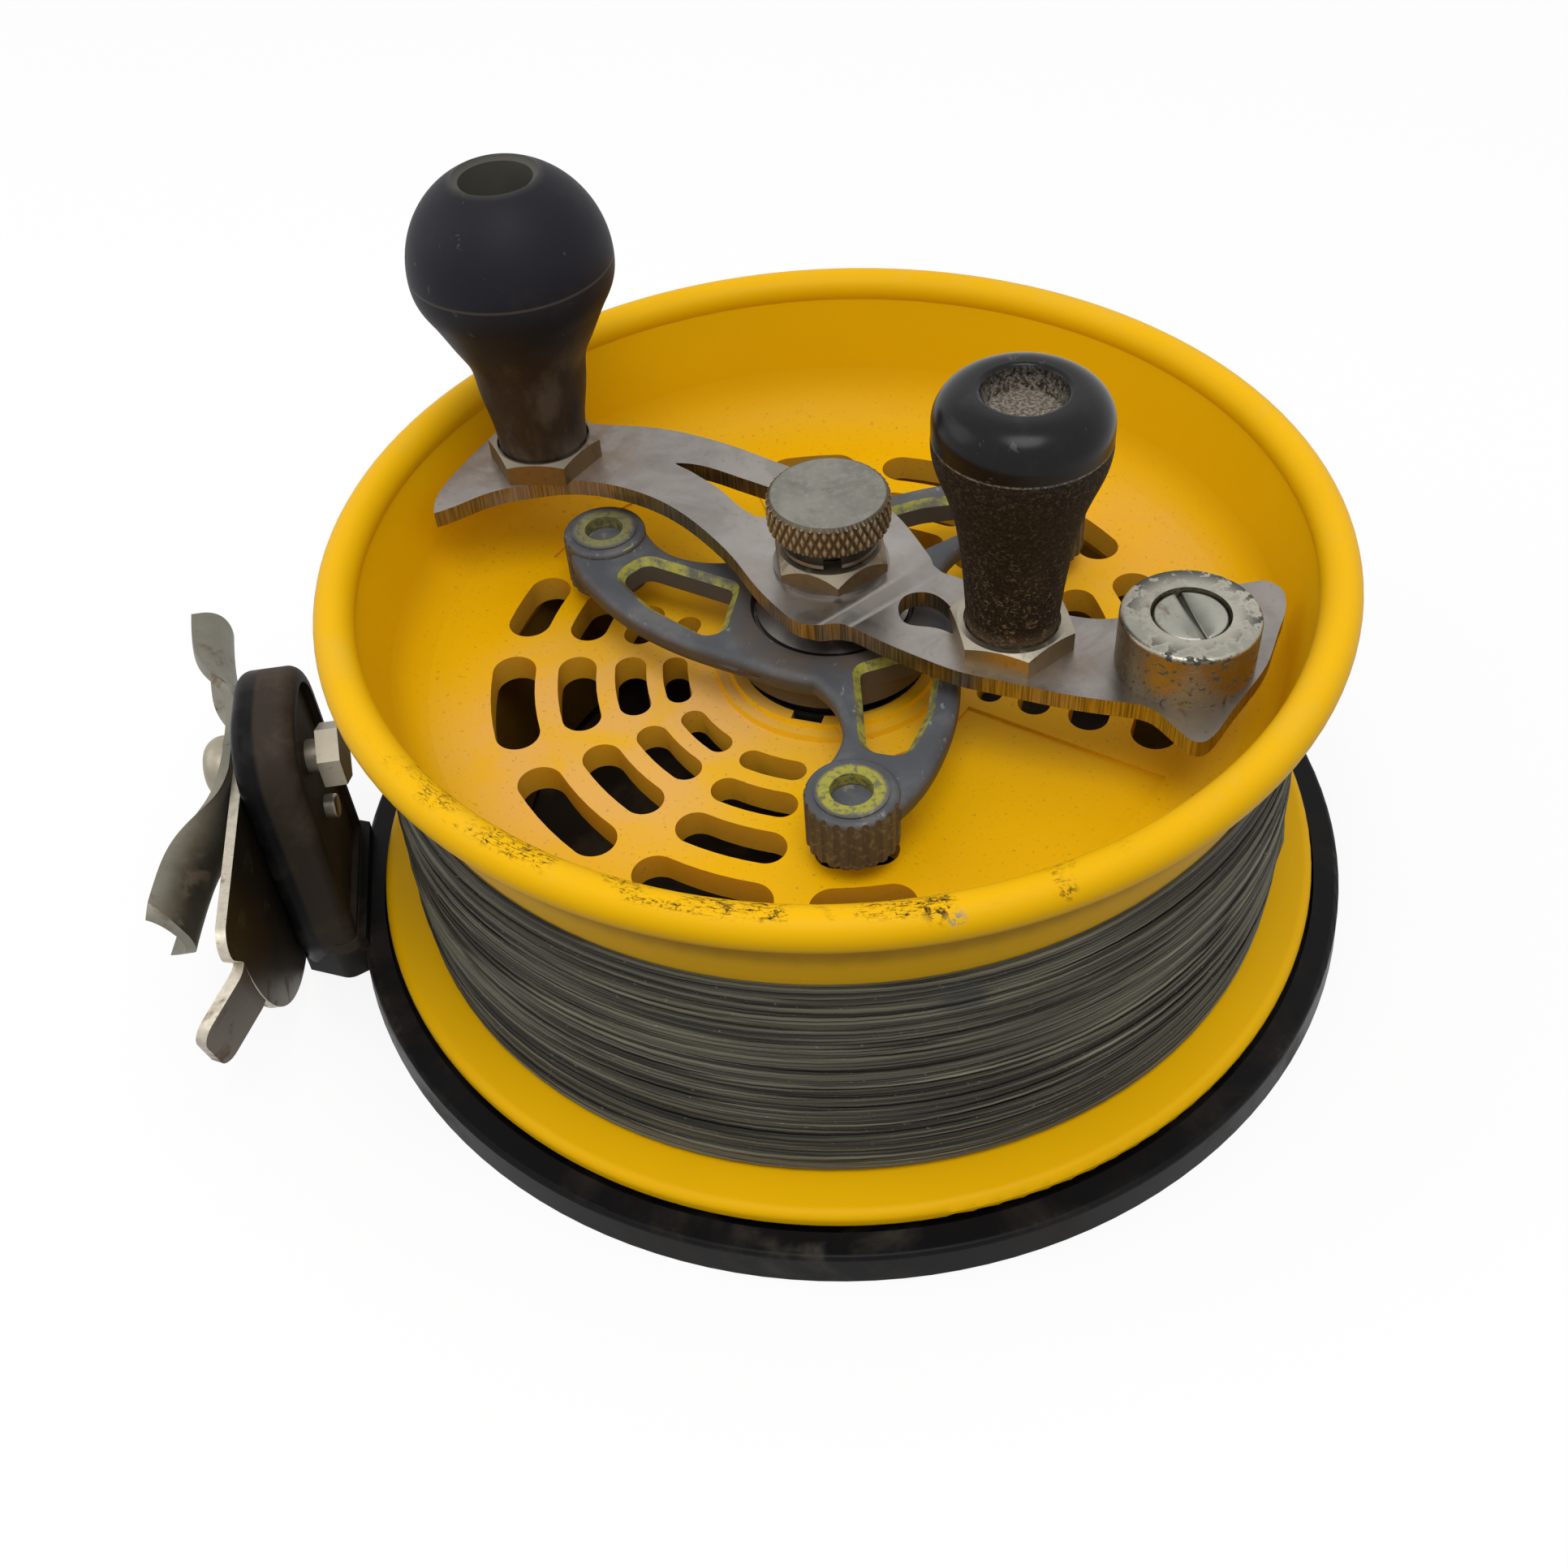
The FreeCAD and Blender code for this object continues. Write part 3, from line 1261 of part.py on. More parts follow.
def make_spring_washers(bore):
    """Two dished washers, rim to rim."""
    body = new_body("spring_washers")
    low = PRESSURE_TOP
    middle = f"{low} + spring_dish + spring_sheet"
    top = f"{low} + 2 * spring_dish + 2 * spring_sheet"
    spin(
        body,
        [
            (bore, low),
            ("stack_radius", f"{low} + spring_dish"),
            ("stack_radius", middle),
            ("stack_radius", f"{middle} + spring_sheet"),
            (bore, top),
            (bore, f"{top} - spring_sheet"),
            ("stack_radius - 0.6", middle),
            (bore, f"{low} + spring_sheet"),
        ],
    )
    return body


def make_seal():
    """Black ring at the mouth of the recess."""
    outer = "recess_radius"
    inner = "recess_radius - seal_width"
    low = "floor_height - 0.2"
    return washer("hub_seal", inner, outer, low, f"{low} + seal_height")


def make_release_parts():
    """Pawl on its pin, with a coil round the pin."""
    pawl = new_body("pawl")
    low = f"{RATCHET_LOW} + 0.5"
    outline = new_sketch(pawl, "XY_Plane", low)
    draw_corners(
        outline,
        [
            ("ratchet_root + 0.6", "-pawl_gap"),
            ("ratchet_root + 4.2", "-pawl_gap", "0.6"),
            ("pawl_offset + 4.2", "-pawl_reach + 12", "12"),
            ("pawl_offset + 4.2", "-(pawl_reach + 4.4)", "4"),
            ("pawl_offset - 4.2", "-(pawl_reach + 4.4)", "4"),
            ("pawl_offset - 4.2", "-(pawl_reach - 4.4)", "3"),
            ("pawl_offset - 0.4", "-pawl_reach + 14", "10"),
        ],
    )
    draw_circle(outline, "pawl_offset", "-pawl_reach", "pin_radius + shaft_clearance")
    add_feature(pawl, "Pad", outline, Length="pawl_thickness")
    top = f"{low} + pawl_thickness"
    pin = turned_piece(
        "pawl_pin",
        [
            ("0", "plate_floor"),
            ("pin_radius", "plate_floor"),
            ("pin_radius", f"{top} + running_gap"),
            ("pin_head", f"{top} + running_gap"),
            ("pin_head", f"{top} + running_gap + 0.9"),
            ("0", f"{top} + running_gap + 0.9"),
        ],
        x="pawl_offset",
        y="-pawl_reach",
    )
    return [pawl, pin]


# Spool with its bushes.

def make_spool():
    """Dish of the spool with its slots, barrel, rear flange and hub."""
    body = spun_section("spool", spool_section()[1])
    slots = new_sketch(body, "XY_Plane", "floor_height")
    for offset, width in SLOT_ROWS:
        for inner, outer in SLOT_RINGS:
            draw_slot(slots, inner, outer, SLOT_CENTRE + offset, width)
    cut = add_feature(body, "Pocket", slots, Length="floor_thickness + 0.5")
    panel = new_sketch(body, "XY_Plane", "floor_height")
    draw_panel(panel)
    recess = add_feature(body, "Pocket", panel, Length="panel_depth")
    notch = new_sketch(body, "XY_Plane", "recess_floor")
    c, s = polar(1.0, value_of("ear_turn") + 180.0)
    half, near, far = "(ear_width / 2 + seat_gap)", "(recess_radius - 3)", "(ear_radius + seat_gap * 2)"
    square = [(near, f"-1 * {half}"), (far, f"-1 * {half}"), (far, half), (near, half)]
    draw_corners(notch, [(f"{x} * {c:.6f} - ({y}) * {s:.6f}", f"{x} * {s:.6f} + ({y}) * {c:.6f}") for x, y in square])
    ear = add_feature(body, "Pocket", notch, Length="floor_height + hub_step_height - recess_floor + 1", Reversed=True)
    webs = new_sketch(body, "XY_Plane", "web_low")
    for side in (-1, 1):
        c, s = polar(1.0, value_of("panel_centre") + side * value_of("web_turn"))
        half, near, far = "(web_thickness / 2)", "(hub_radius - 1)", "(barrel_radius - barrel_wall / 2)"
        strip = [(near, f"-1 * {half}"), (far, f"-1 * {half}"), (far, half), (near, half)]
        draw_corners(webs, [(f"{x} * {c:.6f} - ({y}) * {s:.6f}", f"{x} * {s:.6f} + ({y}) * {c:.6f}") for x, y in strip])
    web = add_feature(body, "Pad", webs, Length="floor_height - floor_thickness + 1 - web_low")
    round_pattern(body, [cut, recess, ear, web], 2)
    return body


def spun_section(label, pieces):
    """Body turned from a half section of lines and arcs."""
    body = new_body(label)
    sketch = new_sketch(body, "XZ_Plane")
    for piece in pieces:
        sketch.addGeometry(piece, False)
    feature = add_feature(body, "Revolution", sketch, Angle=360.0)
    feature.ReferenceAxis = (sketch, ["V_Axis"])
    return body


def lip_frame():
    """Directions along the lip and in towards the axis, the bead's centre, and the centre of the bowl's corner."""
    draft = math.radians(value_of("lip_draft"))
    along = Vector(math.sin(draft), math.cos(draft), 0)
    inward = Vector(-math.cos(draft), math.sin(draft), 0)
    bead = Vector(value_of("bead_ring"), value_of("bead_height"), 0)
    meet = bead + (inward * 0.819 - along * 0.574) * value_of("bead_radius")
    corner = value_of("bowl_corner")
    run = (meet.y - (value_of("floor_height") + corner) + corner * inward.y) / along.y
    return along, inward, bead, meet, meet - along * run + inward * corner


def spool_section():
    """Half sections of the spool's rolled rim and of all behind it, which meet across the bowl's corner."""
    along, inward, bead, inner_meet, centre = lip_frame()
    bead_radius = value_of("bead_radius")
    floor, corner, wall = value_of("floor_height"), value_of("bowl_corner"), value_of("lip_wall")
    bowl_end = centre - inward * corner
    outer_meet = inner_meet - inward * wall
    outer_radius = corner + wall
    barrel = value_of("barrel_radius")
    drop = math.sqrt(outer_radius**2 - (barrel - centre.x) ** 2)
    barrel_top = Vector(barrel, centre.y - drop, 0)
    outer_end = centre - inward * outer_radius
    bowl_start = Vector(centre.x, floor, 0)
    seam = math.radians(value_of("seam_angle"))
    seam_way = Vector(math.sin(seam), -math.cos(seam), 0)
    seam_in, seam_out = centre + seam_way * corner, centre + seam_way * outer_radius
    rim = [
        Part.LineSegment(bowl_end, inner_meet),
        bead_arc(bead, bead_radius, inner_meet, outer_meet),
        Part.LineSegment(bead_foot(bead, bead_radius, outer_meet, along), outer_end),
        arc_round(centre, outer_end, seam_out),
        Part.LineSegment(seam_out, seam_in),
        arc_round(centre, seam_in, bowl_end),
    ]
    pieces = [
        arc_round(centre, seam_out, barrel_top),
        arc_round(centre, bowl_start, seam_in),
        Part.LineSegment(seam_in, seam_out),
    ]
    ring_top = floor + value_of("hub_ring_height")
    step_top = floor + value_of("hub_step_height")
    low, thick = value_of("rear_flange_low"), value_of("rear_flange_thickness")
    flange, edge = value_of("rear_flange_radius"), value_of("rear_flange_round")
    under = floor - value_of("floor_thickness")
    inside_wall = barrel - value_of("barrel_wall")
    hub_low = value_of(COLLAR_TOP) + value_of("bush_flange_thickness") + value_of("running_gap")
    top_run = [
        (centre.x, floor),
        (value_of("hub_ring_radius"), floor),
        (value_of("hub_ring_radius") - 0.4, ring_top),
        (value_of("hub_step_radius"), ring_top),
        (value_of("hub_step_radius") - 0.4, step_top),
        (value_of("recess_radius"), step_top),
        (value_of("recess_radius"), value_of("recess_floor")),
        (value_of("bush_radius"), value_of("recess_floor")),
        (value_of("bush_radius"), hub_low),
        (value_of("hub_radius"), hub_low),
        (value_of("hub_radius"), value_of("hub_neck_height")),
        (value_of("hub_head_radius"), value_of("hub_neck_height") + 3),
        (value_of("hub_head_radius"), under),
        (inside_wall, under),
        (inside_wall, low),
        (flange - edge, low),
    ]
    for first, last in zip(top_run, top_run[1:]):
        pieces.append(Part.LineSegment(Vector(*first, 0), Vector(*last, 0)))
    low_round = Part.Arc(
        Vector(flange - edge, low, 0),
        Vector(flange - edge + edge * math.sin(0.785), low + edge - edge * math.cos(0.785), 0),
        Vector(flange, low + edge, 0),
    )
    high = low + thick
    high_round = Part.Arc(
        Vector(flange, high - edge, 0),
        Vector(flange - edge + edge * math.cos(0.785), high - edge + edge * math.sin(0.785), 0),
        Vector(flange - edge, high, 0),
    )
    pieces += [low_round, Part.LineSegment(Vector(flange, low + edge, 0), Vector(flange, high - edge, 0)), high_round]
    pieces.append(Part.LineSegment(Vector(flange - edge, high, 0), Vector(barrel, high, 0)))
    pieces.append(Part.LineSegment(Vector(barrel, high, 0), barrel_top))
    return rim, pieces


def arc_round(centre, start, end):
    """Short arc between two points that lie alike from a centre."""
    middle = centre + (start + end - centre * 2).normalize() * (start - centre).Length
    return Part.Arc(start, middle, end)


def bead_foot(bead, radius, outer_meet, along):
    """Where the lip's outer face runs into the bead."""
    offset = outer_meet - bead
    b = offset.dot(along)
    reach = -b - math.sqrt(b * b - offset.dot(offset) + radius * radius)
    return outer_meet + along * reach


def bead_arc(bead, radius, start, outer_meet):
    draft = math.radians(value_of("lip_draft"))
    along = Vector(math.sin(draft), math.cos(draft), 0)
    end = bead_foot(bead, radius, outer_meet, along)
    crown = bead + Vector(0.3, 1.0, 0).normalize() * radius
    return Part.Arc(start, crown, end)


def draw_slot(sketch, inner, outer, middle, width):
    """Round ended slot between two radii."""
    half = (outer - inner) / 2
    centre = (outer + inner) / 2
    reach = math.radians(width / 2) - half / centre
    angle = math.radians(middle)
    first, last = angle - reach, angle + reach
    origin, up = Vector(0, 0, 0), Vector(0, 0, 1)
    sketch.addGeometry(Part.ArcOfCircle(Part.Circle(origin, up, outer), first, last), False)
    sketch.addGeometry(Part.ArcOfCircle(Part.Circle(origin, up, inner), first, last), False)
    for end, start in ((last, last), (first, first + math.pi)):
        spot = Vector(centre * math.cos(end), centre * math.sin(end), 0)
        sketch.addGeometry(Part.ArcOfCircle(Part.Circle(spot, up, half), start, start + math.pi), False)


def draw_panel(sketch):
    """Sector with square ends for a label."""
    inner, outer = value_of("panel_inner"), value_of("panel_outer")
    middle, half = math.radians(value_of("panel_centre")), math.radians(value_of("panel_angle"))
    origin, up = Vector(0, 0, 0), Vector(0, 0, 1)
    for radius in (inner, outer):
        sketch.addGeometry(Part.ArcOfCircle(Part.Circle(origin, up, radius), middle - half, middle + half), False)
    for angle in (middle - half, middle + half):
        ray = Vector(math.cos(angle), math.sin(angle), 0)
        sketch.addGeometry(Part.LineSegment(ray * inner, ray * outer), False)


def make_bushes():
    bore = BORE
    low = f"{COLLAR_TOP} + running_gap"
    seat = f"{low} + bush_flange_thickness"
    rear = turned_piece(
        "rear_bush",
        [
            (bore, low),
            ("bush_flange", low),
            ("bush_flange", seat),
            ("bush_radius", seat),
            ("bush_radius", f"{seat} + bush_length"),
            (bore, f"{seat} + bush_length"),
        ],
    )
    front = washer("front_bush", bore, "bush_radius", "recess_floor - bush_length", "recess_floor")
    return [rear, front]


# Wound line: a plain core and its outer layer of turns.

def line_front():
    """Height of the last turn, where it still clears the flare of the front lip."""
    centre, radius = lip_frame()[4], value_of("bowl_corner + lip_wall + 2 * line_clearance + line_cord + line_neck")
    across = value_of("line_front_radius - line_cord") - centre.x
    return centre.y - math.sqrt(radius**2 - across**2)


def make_line_core():
    """Body of the winding: it lies on the barrel under the turns, and fills the wedge below the front lip."""
    body = new_body("line_core")
    gap, cord = value_of("line_clearance"), value_of("line_cord")
    centre, radius = lip_frame()[4], value_of("bowl_corner + lip_wall + line_clearance")
    barrel = value_of("barrel_radius") + gap
    low = value_of("rear_flange_low + rear_flange_thickness") + gap
    rear, front = value_of("line_rear_radius"), value_of("line_front_radius")
    step = line_front() + cord + gap
    under = 2 * cord + gap
    start = Vector(barrel, centre.y - math.sqrt(radius**2 - (barrel - centre.x) ** 2), 0)
    end = Vector(front - 0.5, centre.y - math.sqrt(radius**2 - (front - 0.5 - centre.x) ** 2), 0)
    middle = centre + ((start + end) / 2 - centre).normalize() * radius
    sketch = new_sketch(body, "XZ_Plane")
    sketch.addGeometry(Part.Arc(start, middle, end), False)
    corners = [end, Vector(front, step, 0), Vector(front - under, step, 0), Vector(rear - under, low, 0),
               Vector(barrel, low, 0), start]
    for first, last in zip(corners, corners[1:]):
        sketch.addGeometry(Part.LineSegment(first, last), False)
    feature = add_feature(body, "Revolution", sketch, Angle=360.0)
    feature.ReferenceAxis = (sketch, ["V_Axis"])
    return body


def biarc(start, start_way, end, end_way):
    """Two arcs that join two points and keep both directions."""
    chord = end - start
    ways = start_way + end_way
    spread = 2 * (1 - start_way.dot(end_way))
    b = chord.dot(ways)
    reach = (-b + math.sqrt(b * b + spread * chord.dot(chord))) / spread
    joint = (start + end + (start_way - end_way) * reach) / 2
    return [arc_from(start, start + start_way * reach, joint), arc_from(joint, end - end_way * reach, end)]


def arc_from(start, apex, end):
    """Arc between two points whose tangents meet at the apex."""
    chord_middle = (start + end) / 2
    rise = apex - chord_middle
    half = (end - start).Length / 2
    side = (apex - start).Length
    sagitta = half * (side - half) / rise.Length
    return Part.Arc(start, chord_middle + rise.normalize() * sagitta, end)


def coil_path(place, turns, tail):
    """Unbroken path of biarcs, a quarter turn each, with a straight tail at each end."""
    step = 1e-4

    def way(u):
        return (place(u + step) - place(u - step)).normalize()

    count = int(round(turns * 4))
    marks = [turns * i / count for i in range(count + 1)]
    edges = []
    for first, last in zip(marks, marks[1:]):
        edges += [arc.toShape() for arc in biarc(place(first), way(first), place(last), way(last))]
    start, end = place(0.0), place(turns)
    edges.insert(0, Part.LineSegment(start - way(0.0) * tail, start).toShape())
    edges.append(Part.LineSegment(end, end + way(turns) * tail).toShape())
    return Part.Wire(edges)


def least_gap(place, turns, width):
    """Least distance between neighbouring turns, measured on points."""
    least = 1e9
    for i in range(200):
        u = (turns - 1) * i / 199
        least = min(least, min((place(u + 1 + k / 500) - place(u)).Length for k in range(-5, 6)))
    return least - width


def make_tube(label, place, turns, radius, sides, tail):
    """Tube of a polygon section along a coil."""
    path = coil_path(place, turns, tail)
    start = path.Vertexes[0].Point
    way = path.Edges[0].tangentAt(path.Edges[0].FirstParameter)
    outward = way.cross(Vector(0, 0, 1)).normalize()
    up = way.cross(outward)
    corners = []
    for i in range(sides + 1):
        c, s = polar(radius, 360.0 * (i + 0.5) / sides)
        corners.append(start + outward * c + up * s)
    section = Part.makePolygon(corners)
    tube = path.makePipeShell([section], True, False)
    area = sides / 2 * radius**2 * math.sin(2 * math.pi / sides)
    print(f"{label}: volume {tube.Volume:.1f}, section times length {area * path.Length:.1f}")
    print(f"{label}: least gap between turns {least_gap(place, turns, 2 * radius):.2f} mm")
    feature = doc.addObject("Part::Feature", label)
    feature.Label = label
    feature.Shape = tube
    return feature


def make_line_turns():
    """Outer layer of the wound line."""
    turns, cord = value_of("line_turns"), value_of("line_cord")
    low = value_of("rear_flange_low + rear_flange_thickness") + value_of("line_margin")
    high = line_front()
    rear, front = value_of("line_rear_radius") - cord, value_of("line_front_radius") - cord

    def place(u):
        share = u / turns
        c, s = polar(rear + (front - rear) * share, 360.0 * u)
        return Vector(c, s, low + (high - low) * share)

    return make_tube("line_turns", place, turns, cord, 6, 2 * cord)


def make_pawl_spring():
    turns = value_of("spring_turns")
    radius, pitch, wire = value_of("spring_radius"), value_of("spring_pitch"), value_of("spring_wire")
    x, y = value_of("pawl_offset"), -value_of("pawl_reach")
    low = value_of("post_height") + wire + 0.1

    def place(u):
        c, s = polar(radius, 360.0 * u)
        return Vector(x + c, y + s, low + pitch * u)

    return make_tube("pawl_spring", place, turns, wire, 6, 2 * wire)


def build_all():
    pieces = [make_back_plate(), make_spindle(), make_swivel_plate(), make_reel_foot(), make_sleeve()]
    pieces += make_frame_fasteners()
    pieces += make_pivot()
    pieces += [make_ratchet_wheel(), make_plate_collar(), make_handle_plate(), make_cap_knob()]
    pieces += make_hub_fasteners()
    pieces.append(make_axle("ball_knob_axle", "handle_top", "ball_seat + running_gap", x="ball_x", y="ball_y"))
    pieces.append(make_axle("tapered_knob_axle", RIGHT_TOP, "taper_seat + running_gap", x="taper_x", y="taper_y"))
    ball_cup, taper_cup = "ball_foot_radius + knob_cup_gap", "taper_foot_radius + knob_cup_gap"
    pieces.append(make_knob_nut("ball_knob_nut", "handle_top", ball_cup, x="ball_x", y="ball_y", turn="ball_nut_turn"))
    pieces.append(
        make_knob_nut("tapered_knob_nut", RIGHT_TOP, taper_cup, x="taper_x", y="taper_y", turn="taper_nut_turn")
    )
    pieces += [make_ball_knob(), make_tapered_knob(), make_knob_cap()]
    pieces += make_counterweight()
    pieces += [make_star_wheel(), make_star_insert(), make_seal()]
    pieces += make_drag_stack()
    pieces += make_release_parts()
    pieces += [make_spool(), spun_section("spool_rim", spool_section()[0])]
    pieces += make_bushes()
    pieces += [make_line_core(), make_line_turns(), make_pawl_spring()]
    return pieces


def check(pieces):
    """Stops if any object failed or any piece has no sound shape."""
    for item in doc.Objects:
        if "Invalid" in item.State or "Error" in item.State:
            raise RuntimeError(f"{item.Label} in {item.InList and item.InList[0].Label}: {item.State}")
    for piece in pieces:
        if piece.Shape.isNull() or not piece.Shape.isValid() or len(piece.Shape.Solids) != 1:
            raise RuntimeError(f"{piece.Label} is not one sound solid: {len(piece.Shape.Solids)} solids")


def main():
    pieces = build_all()
    doc.recompute()
    check(pieces)
    os.makedirs("parts", exist_ok=True)
    for piece in pieces:
        piece.Shape.exportStep(f"parts/{piece.Label}.step")
    print(f"{len(pieces)} pieces written")


main()
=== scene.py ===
"""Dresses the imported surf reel: finishes, the wound line, the knurled knob, and a studio to see them in."""

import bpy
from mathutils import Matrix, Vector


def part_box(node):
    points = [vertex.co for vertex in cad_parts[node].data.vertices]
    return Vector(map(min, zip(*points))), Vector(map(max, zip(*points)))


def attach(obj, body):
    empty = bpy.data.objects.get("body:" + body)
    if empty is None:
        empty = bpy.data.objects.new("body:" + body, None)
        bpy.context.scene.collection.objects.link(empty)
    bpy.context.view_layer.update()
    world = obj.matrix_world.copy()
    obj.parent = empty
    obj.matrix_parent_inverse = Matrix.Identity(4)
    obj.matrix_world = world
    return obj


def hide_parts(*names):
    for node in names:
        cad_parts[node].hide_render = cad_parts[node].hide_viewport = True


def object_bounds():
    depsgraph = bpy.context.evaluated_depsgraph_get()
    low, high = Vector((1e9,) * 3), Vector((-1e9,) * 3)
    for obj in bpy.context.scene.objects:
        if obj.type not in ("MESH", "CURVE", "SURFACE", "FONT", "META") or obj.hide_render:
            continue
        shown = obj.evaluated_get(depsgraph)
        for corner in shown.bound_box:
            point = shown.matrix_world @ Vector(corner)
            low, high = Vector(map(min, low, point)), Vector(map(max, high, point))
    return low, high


bl_info = {
    "name": "Surf reel",
    "version": (1, 0, 0),
    "blender": (4, 5, 0),
    "location": "View3D > Sidebar > Surf reel",
    "description": "Finishes and fine pieces for a side cast surf reel",
    "category": "Add Mesh",
}

import math

import bmesh
import bpy
from bpy.props import FloatProperty, FloatVectorProperty, IntProperty, PointerProperty
from mathutils import Matrix, Vector, noise

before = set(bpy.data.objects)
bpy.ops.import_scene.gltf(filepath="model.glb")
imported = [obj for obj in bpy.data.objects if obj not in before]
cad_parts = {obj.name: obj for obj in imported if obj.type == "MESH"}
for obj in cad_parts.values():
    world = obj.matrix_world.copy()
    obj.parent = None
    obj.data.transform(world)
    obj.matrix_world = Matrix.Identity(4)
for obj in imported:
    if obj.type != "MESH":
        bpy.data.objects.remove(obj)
cad_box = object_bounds()

ORIGIN = (0.0, 0.0, 0.0)
EVEN = (1.0, 1.0, 1.0)
WHITE = (1.0, 1.0, 1.0)


def colour_property(name, description, default):
    """A colour setting, given and kept as linear red, green and blue."""
    return FloatVectorProperty(
        name=name, description=description, subtype="COLOR", size=3, min=0.0, max=1.0, default=default
    )


def length_property(name, description, default):
    """A length setting, given and kept in metres."""
    return FloatProperty(
        name=name, description=description, subtype="DISTANCE", unit="LENGTH", min=0.0, default=default
    )


def power_property(name, description, default):
    """A lamp's power, given and kept in watts."""
    return FloatProperty(name=name, description=description, subtype="POWER", unit="POWER", default=default)


class ReelColours(bpy.types.PropertyGroup):
    """Colours of the reel's finishes."""

    spool: colour_property("Spool", "Moulded yellow of the spool", (0.83, 0.45, 0.0))
    sand: colour_property("Sand", "Sand and salt left on the spool's floor", (0.76, 0.42, 0.13))
    plate: colour_property("Back plate", "Black of back plate and bracket", (0.0055, 0.0055, 0.0060))
    dust: colour_property("Dust", "Brown dust on the back plate", (0.085, 0.060, 0.036))
    steel: colour_property("Steel", "Dulled stainless steel", (0.285, 0.262, 0.243))
    stain: colour_property("Stain", "Brown stain on metal", (0.12, 0.065, 0.026))
    star: colour_property("Star", "Grey coat of the star wheel", (0.080, 0.084, 0.092))
    star_edge: colour_property("Star edge", "Yellow green where its coat is worn", (0.33, 0.31, 0.045))
    line: colour_property("Line", "Wound line", (0.140, 0.130, 0.093))
    # Line shade is also the painted shade in the gaps between the line's turns.
    line_dark_and_gap_shade: colour_property("Line shade", "Darker lengths of the line", (0.018, 0.016, 0.012))
    grip: colour_property("Grip", "Tapered knob", (0.018, 0.012, 0.0065))
    ball: colour_property("Ball", "Ball knob", (0.0125, 0.0125, 0.0175))


class ReelLine(bpy.types.PropertyGroup):
    """Sizes of the wound line."""

    thickness: length_property("Thickness", "Diameter of the line", 0.00062)
    pitch: length_property("Pitch", "Distance between neighbouring turns", 0.00058)
    wander: length_property("Wander", "How far a turn strays from its neighbours", 0.00042)
    sink: length_property("Sink", "How far turns sink between their neighbours", 0.00040)
    steps: IntProperty(name="Steps", description="Straight runs in one turn", min=24, default=96)


class ReelKnurl(bpy.types.PropertyGroup):
    """Sizes of the knurled knob."""

    count: IntProperty(name="Diamonds", description="Diamonds round the knob", min=12, default=42)
    depth: length_property("Depth", "Depth of the knurl", 0.00040)
    neck: length_property("Neck", "Radius of the neck under the knob", 0.0056)
    stand: length_property("Stand", "Height of the neck", 0.0024)


class ReelStage(bpy.types.PropertyGroup):
    """Light of the studio."""

    world: FloatProperty(
        name="World", description="Strength of the world's light overhead", min=0.0, default=1.0
    )
    horizon: FloatProperty(
        name="Horizon", description="Strength of the world's light at the sides", min=0.0, default=0.30
    )
    key: power_property("Key", "Power of the lamp above", 2.6)
    fill: power_property("Fill", "Power of the side lamp", 0.8)
    shadow: FloatProperty(
        name="Shadow", description="Share of the floor's shading that shows", min=0.0, max=1.0, default=0.16
    )


def reel():
    """The scene's settings for the reel."""
    return bpy.context.scene.surf_reel


def middle(name):
    """Foot of the upright line through the middle of a CAD piece's box."""
    low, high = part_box(name)
    return ((low[0] + high[0]) / 2, (low[1] + high[1]) / 2, 0.0)


# Materials.

class Value:
    """A number in a material, which takes part in Python's arithmetic."""

    def __init__(self, nodes, socket):
        self.nodes = nodes
        self.socket = socket

    def maths(self, operation, *others):
        """A sum or function of this number and others."""
        links = dict(enumerate((self, *others)))
        node = self.nodes.node("ShaderNodeMath", {"operation": operation}, links)
        return Value(self.nodes, node.outputs[0])

    def __add__(self, other):
        return self.maths("ADD", other)

    def __sub__(self, other):
        return self.maths("SUBTRACT", other)

    def __mul__(self, other):
        return self.maths("MULTIPLY", other)

    def __rsub__(self, other):
        return (self * -1.0) + other

    __radd__ = __add__

    def band(self, low, high):
        """Runs smoothly from 0 at low to 1 at high. Low may be the greater."""
        settings = {"interpolation_type": "SMOOTHSTEP", "clamp": True}
        links = {"Value": self, "From Min": low, "From Max": high}
        node = self.nodes.node("ShaderNodeMapRange", settings, links)
        return Value(self.nodes, node.outputs["Result"])


class Nodes:
    """The nodes of a material or of the world."""

    def __init__(self, tree):
        self.tree = tree

    def feed(self, slot, item):
        """Links a value or a socket to a slot, or sets the slot to a number, a vector or a colour."""
        if isinstance(item, Value):
            self.tree.links.new(item.socket, slot)
        elif isinstance(item, bpy.types.NodeSocket):
            self.tree.links.new(item, slot)
        elif hasattr(slot.default_value, "__len__") and len(slot.default_value) == 4:
            slot.default_value = (*tuple(item)[:3], 1.0)
        else:
            slot.default_value = item

    def node(self, kind, settings, links):
        """Adds a node: its settings first, then what feeds its sockets, by name or by number."""
        node = self.tree.nodes.new(kind)
        for name, setting in settings.items():
            setattr(node, name, setting)
        for name, item in links.items():
            self.feed(node.inputs[name], item)
        return node


